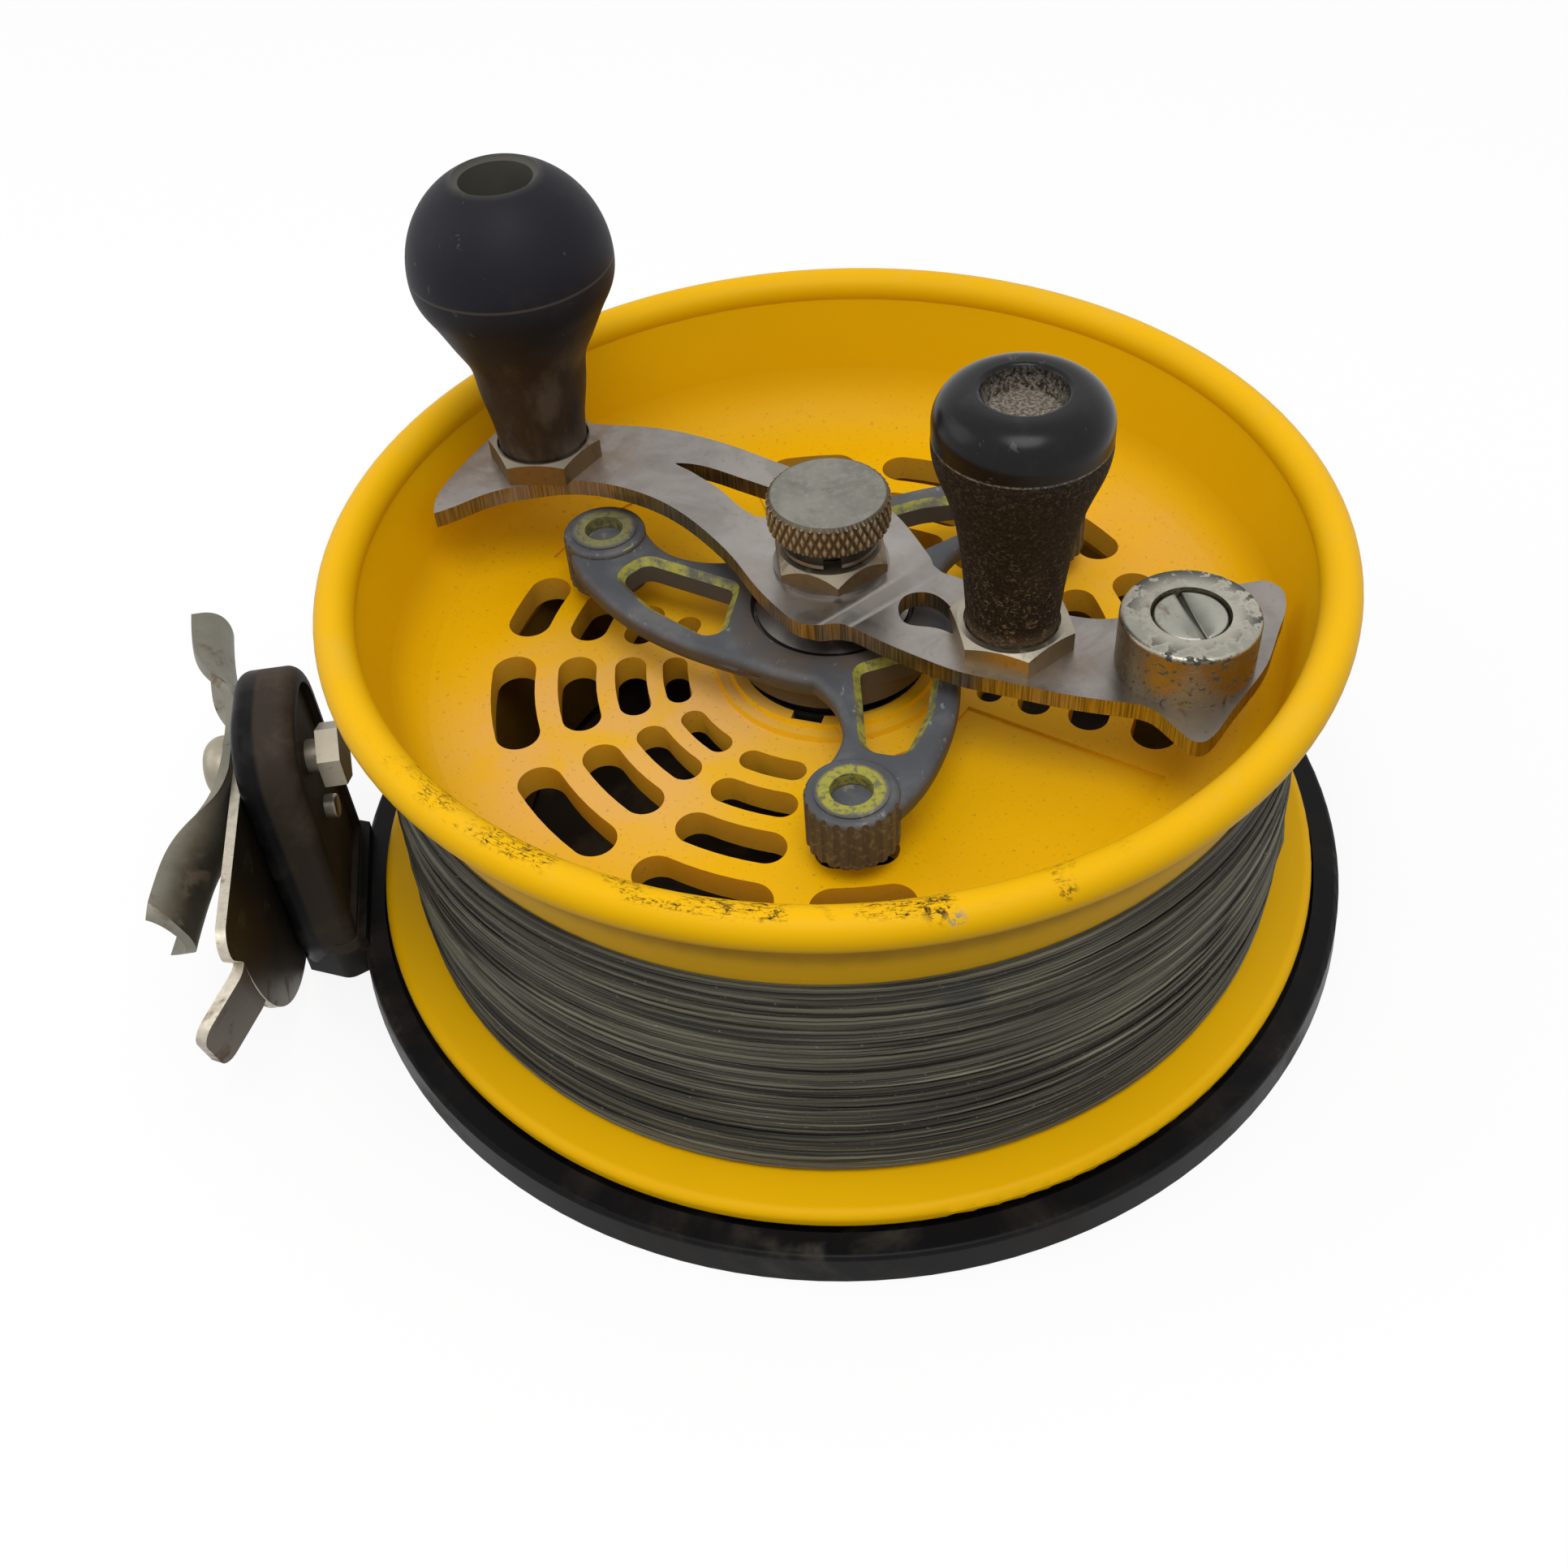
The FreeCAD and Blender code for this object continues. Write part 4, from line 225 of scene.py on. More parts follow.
class Finish(Nodes):
    """One material, built round a principled shader on object coordinates."""

    def __init__(self, name, colour, roughness, metallic=0.0, **fixed):
        self.material = bpy.data.materials.new(name)
        self.material.use_nodes = True
        super().__init__(self.material.node_tree)
        self.shader = self.tree.nodes["Principled BSDF"]
        self.place = self.node("ShaderNodeTexCoord", {}, {}).outputs["Object"]
        self.colour(colour)
        self.roughness(roughness)
        self.metallic(metallic)
        for name, number in fixed.items():
            self.shader.inputs[name.replace("_", " ")].default_value = number

    def spot(self, offset, stretch):
        """Object coordinates, stretched and then moved."""
        links = {"Vector": self.place, "Location": offset, "Scale": stretch}
        return self.node("ShaderNodeMapping", {"vector_type": "POINT"}, links).outputs["Vector"]

    def noise_at(self, place, scale, detail, roughness, warp):
        """Noise on any coordinates, from 0 to 1."""
        links = {"Vector": place, "Scale": scale, "Detail": detail, "Roughness": roughness}
        links["Distortion"] = warp
        return Value(self, self.node("ShaderNodeTexNoise", {}, links).outputs["Fac"])

    def cloud(self, scale, detail=3.0, roughness=0.55, stretch=EVEN, offset=ORIGIN, warp=0.0):
        """Noise whose features are about 1/scale metres wide, from 0 to 1."""
        return self.noise_at(self.spot(offset, stretch), scale, detail, roughness, warp)

    def ring_cloud(self, along, across, detail, roughness):
        """Noise that follows rings round Z: features per radian along a ring, and per metre across it."""
        turn = self.part("Y").maths("ARCTAN2", self.part("X")) * along
        links = {"X": turn, "Y": self.distance(ORIGIN) * across, "Z": self.part("Z") * across}
        place = self.node("ShaderNodeCombineXYZ", {}, links).outputs["Vector"]
        return self.noise_at(place, 1.0, detail, roughness, 0.0)

    def cells(self, scale):
        """Distance from the middles of cells about 1/scale metres wide."""
        links = {"Vector": self.place, "Scale": scale}
        return Value(self, self.node("ShaderNodeTexVoronoi", {"feature": "F1"}, links).outputs["Distance"])

    def part(self, axis):
        """One of the object coordinates, X, Y or Z, in metres."""
        return Value(self, self.node("ShaderNodeSeparateXYZ", {}, {"Vector": self.place}).outputs[axis])

    def above(self, name):
        """Height in metres above the foot of a CAD piece."""
        return self.part("Z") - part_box(name)[0][2]

    def facing(self, axis):
        """How far the surface faces along an axis of the piece, from -1 to 1."""
        normal = self.node("ShaderNodeTexCoord", {}, {}).outputs["Normal"]
        return Value(self, self.node("ShaderNodeSeparateXYZ", {}, {"Vector": normal}).outputs[axis])

    def vector_maths(self, operation, *items):
        """A node with a sum or function of vectors."""
        return self.node("ShaderNodeVectorMath", {"operation": operation}, dict(enumerate(items)))

    def distance(self, centre, flat=True):
        """Distance in metres from an upright line through a point, or from the point itself."""
        away = self.vector_maths("SUBTRACT", self.place, centre).outputs["Vector"]
        if flat:
            away = self.vector_maths("MULTIPLY", away, (1.0, 1.0, 0.0)).outputs["Vector"]
        return Value(self, self.vector_maths("LENGTH", away).outputs["Value"])

    def near(self, centre, full, none, flat=True):
        """1 up to one distance from a place, and down to 0 at another."""
        return self.distance(centre, flat).band(none, full)

    def mix(self, share, first, second):
        """Colour between two, by a share from 0 to 1. A mix node takes its colours as inputs 6 and 7."""
        settings = {"data_type": "RGBA", "clamp_factor": True}
        return self.node("ShaderNodeMix", settings, {0: share, 6: first, 7: second}).outputs[2]

    def coats(self, tone, *coats):
        """Colour under coats, each given as the share that it covers and its own colour."""
        for share, colour in coats:
            tone = self.mix(share, tone, colour)
        return tone

    def colour(self, tone, *coats):
        """Sets the base colour, with any coats over it."""
        self.feed(self.shader.inputs["Base Color"], self.coats(tone, *coats))

    def roughness(self, item):
        """Sets the roughness."""
        self.feed(self.shader.inputs["Roughness"], item)

    def metallic(self, item):
        """Sets how metallic the surface is."""
        self.feed(self.shader.inputs["Metallic"], item)

    def relief(self, height, depth, strength):
        """Bump from a height of 0 to 1 over a depth in metres."""
        links = {"Height": height, "Distance": depth, "Strength": strength}
        self.feed(self.shader.inputs["Normal"], self.node("ShaderNodeBump", {}, links).outputs["Normal"])


def dress(finish, *nodes):
    """Gives CAD nodes a finish in place of the one they were packed with."""
    for name in nodes:
        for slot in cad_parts[name].material_slots:
            slot.material = finish.material


def tint(colour, share):
    """A colour made lighter or darker by a share of itself."""
    return tuple(min(1.0, part * share) for part in colour)


def spool_finish():
    """Satin yellow with sand on its floor, brown in its slots and dirt on its front lip; painted shade under
    the lip and in the drum, and a painted highlight on the bead's top.
    """
    hue = reel().colours
    slot_brown, speck_brown, drum_shade_brown = (0.40, 0.21, 0.060), (0.20, 0.12, 0.04), (0.125, 0.062, 0.014)
    under_lip_shade_brown, dirt_brown = (0.24, 0.11, 0.0), (0.050, 0.026, 0.004)
    rub_highlight_yellow, pale_grey = (0.66, 0.42, 0.06), (0.28, 0.27, 0.20)
    left_drift, right_drift = (-0.040, -0.012, 0.0), (0.060, 0.018, 0.0)
    scuff_place, nick_place = (0.0009, -0.0797, 0.0745), (0.0181, -0.0803, 0.0745)
    pale_place = (0.0031, -0.0815, 0.0738)
    finish = Finish("spool_yellow", hue.spool, 0.42, Specular_IOR_Level=0.11)
    radius = finish.distance(ORIGIN)
    height, across, deep = finish.above("spool"), finish.part("X"), finish.part("Y")
    up = finish.facing("Z")
    broad = finish.cloud(16.0)
    grime = finish.cloud(60.0, 5.0, 0.62, offset=(0.3, 0.1, 0.0), warp=0.5)
    speck = finish.cloud(1400.0, 3.0, 0.6, offset=(0.7, 0.0, 0.2))

    floor = height.band(0.0345, 0.0350) * height.band(0.0545, 0.0435) * radius.band(0.078, 0.068)
    wall = floor * up.band(0.6, 0.15)
    left = finish.near(left_drift, 0.014, 0.036) * 0.75
    right = finish.near(right_drift, 0.006, 0.026) * 0.35
    hub = radius.band(0.034, 0.021) * 0.25
    sand = floor * up.band(0.5, 0.9) * (left + right + hub) * (grime.band(0.34, 0.58) * 0.75 + 0.25)
    # Painted shade: the drum's inside below the floor, seen through the slots, is darkened brown.
    inside = height.band(0.0350, 0.0340) * radius.band(0.0660, 0.0600)
    # Painted shade: the band under the bead's overhang is darkened brown, mottled like grime.
    under = radius.band(0.0765, 0.0775) * height.band(0.0505, 0.0545) * height.band(0.0660, 0.0635)

    front = deep.band(-0.030, -0.050) * across.band(0.030, 0.016)
    crest = radius.band(0.0758, 0.0768) * radius.band(0.0812, 0.0800) * height.band(0.0670, 0.0683)
    streaks = finish.ring_cloud(48.0, 3000.0, 4.0, 0.7).band(0.53, 0.61)
    dots = finish.cloud(1500.0, 3.0, 0.7, offset=(0.2, 0.0, 0.1)).band(0.56, 0.62)
    patches = finish.cloud(85.0, 4.0, 0.62, offset=(0.0, 0.4, 0.0)).band(0.44, 0.56)
    dirt = crest * front * patches * (streaks + dots) * 0.75
    # Painted highlight along the bead's top, mottled as rubbed wear.
    rub_and_highlight = height.band(0.0680, 0.0693) * grime.band(0.50, 0.70) * 0.30

    pits = finish.cloud(620.0, 4.0, 0.7).band(0.47, 0.55)
    scuff = finish.near(scuff_place, 0.0006, 0.0030, flat=False) * pits
    nick = finish.near(nick_place, 0.0004, 0.0022, flat=False) * pits
    pale = finish.near(pale_place, 0.0004, 0.0018, flat=False) * pits
    finish.colour(
        hue.spool,
        (broad.band(0.3, 0.7), tint(hue.spool, 0.93)),
        (sand, hue.sand),
        (wall * (0.15 + grime * 0.45), slot_brown),
        (speck.band(0.63, 0.70) * floor * 0.45, speck_brown),
        (inside * 0.85, drum_shade_brown),
        (under * (0.45 + grime * 0.45), under_lip_shade_brown),
        (rub_and_highlight, rub_highlight_yellow),
        (dirt + scuff + nick, dirt_brown),
        (pale, pale_grey),
    )
    finish.roughness(0.40 + grime * 0.14 + sand * 0.3)
    finish.relief(grime * 0.30 + speck * 0.10 - dirt * 0.4 - scuff - nick, 0.00025, 0.6)
    dress(finish, "spool", "spool_rim")


def plate_finish():
    """Black moulding, satin on its rim, with brown dust inside and on the face of its bracket, and a faint
    painted sheen on the rim's top edge.
    """
    hue = reel().colours
    face_dust, rubbed_grey_and_sheen, bracket_bloom = (0.070, 0.052, 0.037), (0.16, 0.15, 0.12), (0.040, 0.045, 0.055)
    rubbed_place = (-0.0190, -0.0855, 0.006)
    finish = Finish("plate_black", hue.plate, 0.45, Specular_IOR_Level=0.09)
    radius = finish.distance(ORIGIN)
    height, across = finish.above("back_plate"), finish.part("X")
    dust = finish.cloud(55.0, 5.0, 0.6, warp=0.4).band(0.46, 0.70)
    fine = finish.cloud(700.0, 3.0, 0.6)
    bracket = across.band(-0.0895, -0.0905) * height.band(0.0062, 0.0070)
    inner = bracket * across.band(-0.0968, -0.0958)
    under = radius.band(0.082, 0.070) * height.band(0.020, 0.012)
    front = finish.near(rubbed_place, 0.004, 0.026, flat=False)
    # Painted sheen along the rim's top outer edge, mottled as edge wear.
    edge = radius.band(0.0885, 0.0893) * height.band(0.0050, 0.0058) * fine.band(0.35, 0.75) * dust
    finish.colour(
        hue.plate,
        (under * (0.35 + dust * 0.5) + dust * 0.16, hue.dust),
        (inner * (0.50 + dust * 0.45), face_dust),
        (front * dust * 0.30 + edge * 0.12, rubbed_grey_and_sheen),
        (bracket * (1.0 - inner) * dust * 0.30, bracket_bloom),
    )
    finish.roughness(0.34 + dust * 0.20 + fine * 0.08 + inner * 0.2)
    finish.relief(fine * 0.25 + dust * 0.4, 0.00010, 0.5)
    dress(finish, "back_plate")


def steel(name, colour, stains, roughness, side=None, side_share=0.0, face="Z"):
    """Dulled metal with hair marks, brown stains in patches, and its sides in another tone."""
    hue = reel().colours
    finish = Finish(name, colour, roughness, 1.0)
    patch = finish.cloud(150.0, 5.0, 0.62, offset=(0.11, 0.2, 0.0), warp=0.6)
    broad = finish.cloud(48.0, 3.0, 0.5)
    hair = finish.cloud(420.0, 3.0, 0.6)
    grit = finish.cloud(900.0, 3.0, 0.65, offset=(0.4, 0.0, 0.3))
    stain = patch.band(0.70 - stains * 0.34, 0.86 - stains * 0.22)
    coats = [(broad.band(0.32, 0.68), tint(colour, 1.12))]
    coats += [(hair.band(0.3, 0.75) * 0.25, tint(colour, 1.35))]
    if side:
        flank = finish.facing(face).maths("ABSOLUTE").band(0.70, 0.25)
        coats.append((flank * side_share * (0.55 + grit * 0.8), side))
    coats += [(grit.band(0.60, 0.72) * 0.35, hue.stain), (stain * 0.85, hue.stain)]
    finish.tone = finish.coats(tint(colour, 0.78), *coats)
    finish.grit, finish.patch = grit, patch
    finish.colour(finish.tone)
    finish.roughness(roughness + broad * 0.10 + stain * 0.35 + hair * 0.08)
    finish.metallic(1.0 - stain * 0.7)
    finish.relief(hair * 0.4 + patch * 0.4 + grit * 0.3, 0.00006, 0.6)
    return finish


def handle_finish():
    """Dull stamped steel: brown round the knobs and the hub, brass tone and shear marks on its edges."""
    shear_dark, shear_light = (0.150, 0.115, 0.072), (0.43, 0.365, 0.26)
    rubbed_brown, hub_bright, rust_brown = (0.150, 0.125, 0.115), (0.42, 0.40, 0.38), (0.22, 0.135, 0.070)
    taper_edge = (0.0300, -0.0290, 0.0)
    finish = steel("steel_handle", reel().colours.steel, stains=0.22, roughness=0.32)
    flat = finish.facing("Z").band(0.15, 0.55)
    shear = finish.cloud(1.0, 2.0, 0.5, stretch=(3600.0, 3600.0, 90.0)).band(0.36, 0.64)
    rubbed = finish.cloud(75.0, 4.0, 0.6, offset=(0.7, 0.3, 0.0), warp=0.8).band(0.46, 0.62)
    ball = finish.near(middle("ball_knob"), 0.008, 0.021)
    hub = finish.near(ORIGIN, 0.008, 0.024)
    taper = finish.near(taper_edge, 0.002, 0.011)
    rust = (ball * 0.9 + hub * 0.30 + taper * 0.5) * finish.patch.band(0.36, 0.62)
    finish.colour(
        finish.tone,
        ((1.0 - flat) * 0.8, finish.mix(shear, shear_dark, shear_light)),
        (rubbed * flat * 0.30, rubbed_brown),
        (hub * flat * 0.6, hub_bright),
        (rust * 0.70, rust_brown),
    )
    finish.roughness(0.28 + finish.patch * 0.12 + rust * 0.25)
    finish.metallic(1.0 - rust * 0.5)
    dress(finish, "handle_plate")


def weight_finish():
    """Cast weight: pitted bright top with dark chips at its rim, brassy brown sides."""
    dull_grey, side_brown, gold = (0.20, 0.205, 0.18), (0.30, 0.235, 0.145), (0.48, 0.31, 0.05)
    chip_black = (0.030, 0.034, 0.028)
    finish = steel("weight_metal", (0.43, 0.405, 0.335), stains=0.20, roughness=0.34)
    rim = finish.distance(middle("counterweight")).band(0.0060, 0.0105)
    top = finish.facing("Z").band(0.30, 0.80)
    side = 1.0 - top
    chip = finish.cloud(260.0, 4.0, 0.65, offset=(0.6, 0.0, 0.1))
    dark = top * chip.band(0.50, 0.56) * rim + side * finish.grit.band(0.54, 0.64) * 0.8
    edge = finish.above("counterweight").band(0.00815, 0.00945) * side * chip.band(0.40, 0.56)
    finish.colour(
        finish.tone,
        (chip.band(0.53, 0.41) * top * 0.45, dull_grey),
        (side * (0.60 + finish.patch * 0.5), side_brown),
        (finish.patch.band(0.54, 0.68) * side * 0.35, gold),
        (dark + edge, chip_black),
    )
    finish.roughness(0.30 + dark * 0.35 + finish.patch * 0.18)
    finish.metallic(1.0 - dark * 0.8 - edge * 0.6)
    finish.relief(finish.grit * 0.7 + chip * 0.5 - dark * 0.5, 0.00016, 0.7)
    dress(finish, "counterweight")


def metal_finishes():
    """Steels and bronze of the pieces, the handle and the counterweight with them."""
    hue = reel().colours
    nut_steel, nut_side = (0.36, 0.325, 0.255), (0.45, 0.335, 0.18)
    dusty_steel, brass = (0.235, 0.205, 0.155), (0.20, 0.125, 0.048)
    bolt_steel, foot_steel, bronze = (0.36, 0.32, 0.25), (0.235, 0.222, 0.180), (0.48, 0.30, 0.12)
    swivel_shaded_face, swivel_lit_edge = (0.105, 0.085, 0.062), (0.62, 0.56, 0.46)
    plain = steel("steel_dulled", tint(hue.steel, 0.85), stains=0.30, roughness=0.32)
    dress(plain, "lock_washer", "star_insert", "plate_collar", "crank_sleeve", "thrust_washer")
    clean = steel("steel_turned", tint(hue.steel, 0.9), stains=0.12, roughness=0.28)
    dress(clean, "spring_washers", "pressure_washer", "drag_disc", "retaining_washer")
    dress(clean, "spindle", "spindle_nut", "spindle_washer")
    dress(clean, "ratchet_wheel", "pawl", "pawl_pin", "pawl_spring")
    nuts = steel("steel_nuts", nut_steel, stains=0.42, roughness=0.28, side=nut_side, side_share=0.75)
    dress(nuts, "tapered_knob_nut", "tapered_knob_axle")
    dusty = steel("steel_dusty", dusty_steel, stains=0.60, roughness=0.42, side=brass, side_share=0.7)
    dress(dusty, "handle_nut", "ball_knob_nut", "ball_knob_axle")
    bolt = steel("steel_bolt", bolt_steel, stains=0.30, roughness=0.38)
    dress(bolt, "pivot_bolt", "pivot_nut", "detent_screw")
    foot = steel("steel_foot", foot_steel, stains=0.45, roughness=0.46)
    dress(foot, "reel_foot")
    # Painted light and shade: the swivel plate's faces are dark brown as if in shade, and its edges are pale
    # as if lit.
    swivel = steel(
        "steel_swivel_lit_and_shaded", swivel_shaded_face, stains=0.40, roughness=0.36, side=swivel_lit_edge, side_share=0.95, face="X"
    )
    dress(swivel, "swivel_plate")
    bush = steel("bush_bronze", bronze, stains=0.2, roughness=0.4)
    dress(bush, "rear_bush", "front_bush")
    handle_finish()
    weight_finish()


def star_finish():
    """Grey coat, worn to a yellow green on the bevels of the windows and round the tips' dimples."""
    hue = reel().colours
    rib_brown, salt_brown, scratch_grey = (0.078, 0.062, 0.042), (0.19, 0.165, 0.115), (0.30, 0.30, 0.29)
    dust_brown, hub_brown = (0.15, 0.135, 0.11), (0.085, 0.060, 0.040)
    first_arm, tip_reach, tip_wear, window_lean = 24.3, 0.0445, (0.75, 0.45, 1.0), 0.2125
    finish = Finish("star_grey", hue.star, 0.46, Specular_IOR_Level=0.24)
    patch = finish.cloud(120.0, 4.0, 0.6)
    fine = finish.cloud(900.0, 3.0, 0.6, offset=(0.0, 0.5, 0.0))
    up = finish.facing("Z")
    level, flank = up.band(0.5, 0.9), up.band(0.45, 0.10)
    across, deep = finish.part("X"), finish.part("Y")
    tips, ends, windows = [], [], []
    for arm, wear in enumerate(tip_wear):
        angle = math.radians(first_arm + 120.0 * arm)
        c, s = math.cos(angle), math.sin(angle)
        reach = finish.distance((tip_reach * c, tip_reach * s, 0.0))
        tips.append(reach.band(0.0030, 0.0034) * reach.band(0.0055, 0.0047) * wear)
        ends.append(reach.band(0.0082, 0.0074))
        along, aside = across * c + deep * s, deep * c - across * s
        window = aside.band(0.0013, 0.0015) * (aside + along * window_lean).band(0.0205, 0.0202)
        windows.append(window * along.band(0.0112, 0.0114) * along.band(0.0386, 0.0384))
    high = finish.above("star_wheel").band(0.0074, 0.0079)
    bevel = up.band(0.58, 0.66) * up.band(0.84, 0.76) * sum(windows)
    bevel = bevel * (0.15 + patch.band(0.38, 0.54) * 0.85)
    worn_tips = sum(tips) * high * (fine.band(0.36, 0.52) * 0.7 + 0.3)
    worn = (worn_tips + bevel * (fine.band(0.34, 0.50) * 0.6 + 0.4)) * (0.55 + fine * 0.8)
    hair = finish.cloud(420.0, 4.0, 0.7, stretch=(1.0, 0.5, 1.0), offset=(0.2, 0.0, 0.0))
    finish.colour(
        tint(hue.star, 0.85),
        (patch.band(0.35, 0.7), tint(hue.star, 1.25)),
        (flank * (0.45 + patch * 0.5), rib_brown),
        (flank * sum(ends) * fine.band(0.54, 0.62) * 0.6, salt_brown),
        (hair.band(0.62, 0.68) * level * 0.55, scratch_grey),
        (patch.band(0.52, 0.66) * level * 0.35, dust_brown),
        (finish.near(ORIGIN, 0.016, 0.020) * patch.band(0.3, 0.6) * 0.7, hub_brown),
        (worn, hue.star_edge),
    )
    finish.roughness(0.42 + patch * 0.18)
    finish.relief(fine * 0.35 + patch * 0.3 + worn * fine * 1.2, 0.00016, 0.7)
    dress(finish, "star_wheel")


def grip_finish():
    """Pebbled brown black moulding, with dust in its pebbles and round its foot."""
    hue = reel().colours
    streak_brown = (0.040, 0.026, 0.013)
    pebble_dust, foot_dust = (0.150, 0.115, 0.070), (0.13, 0.095, 0.055)
    grip = Finish("grip_brown", hue.grip, 0.75, Specular_IOR_Level=0.16)
    pebble = grip.cells(1900.0)
    worm = grip.cloud(1500.0, 2.0, 0.5, warp=1.0)
    streak = grip.cloud(130.0, 4.0, 0.6, stretch=(1.0, 1.0, 0.35))
    height = grip.above("tapered_knob")
    grip.colour(
        tint(hue.grip, 0.6),
        (pebble.band(0.55, 0.20), tint(hue.grip, 1.3)),
        (streak.band(0.5, 0.75) * 0.4, streak_brown),
        (worm.band(0.55, 0.65) * (0.30 + height.band(0.02325, 0.00325) * 0.5), pebble_dust),
        (height.band(0.00475, 0.00175) * 0.5, foot_dust),
    )
    grip.roughness(0.60 + pebble * 0.25)
    grip.relief(pebble * 0.6 + worm * 0.6, 0.00030, 0.9)
    dress(grip, "tapered_knob")


def cap_finish():
    """Glossy black with fine scratches, and sand packed in its recess."""
    base, scuff_brown, scratch_grey = (0.0050, 0.0050, 0.0058), (0.050, 0.047, 0.042), (0.14, 0.14, 0.135)
    sand_dark, sand_light = (0.085, 0.070, 0.055), (0.27, 0.235, 0.19)
    cap = Finish("cap_black", base, 0.30, Specular_IOR_Level=0.20)
    scuff = cap.cloud(150.0, 5.0, 0.65, warp=0.5)
    hair = cap.cloud(420.0, 4.0, 0.7, stretch=(1.0, 0.35, 1.0), offset=(0.3, 0.0, 0.0)).band(0.63, 0.68)
    away = cap.distance(middle("tapered_knob_cap"))
    height = cap.above("tapered_knob_cap")
    mouth = away.band(0.0060, 0.0046) * height.band(0.0078, 0.0074)
    grains = cap.cloud(1900.0, 4.0, 0.7)
    lip = away.band(0.0040, 0.0050) * away.band(0.0062, 0.0056) * grains.band(0.3, 0.6)
    seam = height.band(0.00045, 0.00015) * away.band(0.008, 0.009) * grains.band(0.30, 0.5)
    cap.colour(
        base,
        (scuff.band(0.52, 0.74) * 0.16, scuff_brown),
        (hair * 0.30, scratch_grey),
        (mouth + lip * 0.8 + seam * 0.8, cap.mix(grains.band(0.40, 0.62), sand_dark, sand_light)),
    )
    cap.roughness(0.17 + scuff * 0.16 + mouth * 0.5)
    cap.relief(scuff * 0.15 + mouth * grains * 2.0, 0.00018, 0.6)
    dress(cap, "tapered_knob_cap")


def ball_finish():
    """Blue black ball with a brown neck, dusty mouth and a parting line round its widest place."""
    hue = reel().colours
    veil_grey, neck_brown, neck_dust = (0.060, 0.055, 0.048), (0.045, 0.029, 0.016), (0.105, 0.085, 0.062)
    neck_black, foot_dust, mouth_dust = (0.010, 0.009, 0.009), (0.17, 0.145, 0.115), (0.115, 0.110, 0.085)
    scratch_grey, seam_brown = (0.13, 0.125, 0.12), (0.085, 0.072, 0.058)
    ball = Finish("ball_black", hue.ball, 0.5, Specular_IOR_Level=0.13)
    veil = ball.cloud(60.0, 5.0, 0.62, warp=0.6)
    streak = ball.cloud(95.0, 4.0, 0.6, stretch=(1.0, 1.0, 0.4), offset=(0.5, 0.0, 0.0))
    hair = ball.cloud(330.0, 4.0, 0.7, offset=(0.3, 0.0, 0.6)).band(0.655, 0.70)
    fine = ball.cloud(900.0, 2.0)
    height = ball.above("ball_knob")
    neck = height.band(0.03055, 0.01905)
    foot = height.band(0.00755, -0.00045)
    mouth = ball.near(middle("ball_knob"), 0.0056, 0.0082) * height.band(0.02655, 0.03055)
    seam = height.band(0.03530, 0.03550) * height.band(0.03595, 0.03575)
    ball.colour(
        hue.ball,
        (veil.band(0.50, 0.75) * 0.22, veil_grey),
        (neck * (0.45 + veil * 0.5), neck_brown),
        (neck * streak.band(0.48, 0.62) * 0.55, neck_dust),
        (neck * streak.band(0.46, 0.34) * 0.7, neck_black),
        (foot * veil.band(0.40, 0.60) * 0.6, foot_dust),
        (mouth * (0.40 + veil * 0.5), mouth_dust),
        (hair * 0.35, scratch_grey),
        (seam * 0.6, seam_brown),
    )
    ball.roughness(0.44 + veil * 0.18)
    ball.relief(veil * 0.5 + fine * 0.2 + seam * 0.8, 0.00014, 0.5)
    dress(ball, "ball_knob")


def small_finishes():
    """Rubber seal and fibre washer."""
    rubber = Finish("seal_rubber", (0.012, 0.012, 0.012), 0.6, Specular_IOR_Level=0.25)
    rubber.relief(rubber.cloud(900.0, 2.0), 0.00005, 0.5)
    dress(rubber, "hub_seal")
    fibre = Finish("fibre_washer", (0.06, 0.045, 0.03), 0.8)
    fibre.relief(fibre.cloud(1200.0), 0.0001, 0.6)
    dress(fibre, "friction_washer")


# Meshes.

CREASE = math.radians(32.0)
line_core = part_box("line_core")

# How quickly the line's strays change with height, per metre.
SWAY_RATE = 900.0
SWELL_RATE = 330.0
TURN_RATE = 1500.0


def new_piece(name, mesh, finish, body, replaced):
    """Turns a bmesh into a smooth piece that moves with a body."""
    data = bpy.data.meshes.new(name)
    mesh.to_mesh(data)
    mesh.free()
    data.shade_smooth()
    data.materials.append(finish.material)
    piece = bpy.data.objects.new(name, data)
    bpy.context.scene.collection.objects.link(piece)
    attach(piece, body)
    if replaced:
        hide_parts(*replaced)
    return piece


def spin(mesh, parts, steps, rise=0.0, merge=False):
    """Sweeps edges and vertices once round Z, with a rise at each step."""
    bmesh.ops.spin(
        mesh,
        geom=parts,
        cent=ORIGIN,
        axis=(0.0, 0.0, 1.0),
        dvec=(0.0, 0.0, rise),
        angle=2 * math.pi,
        steps=steps,
        use_merge=merge,
    )


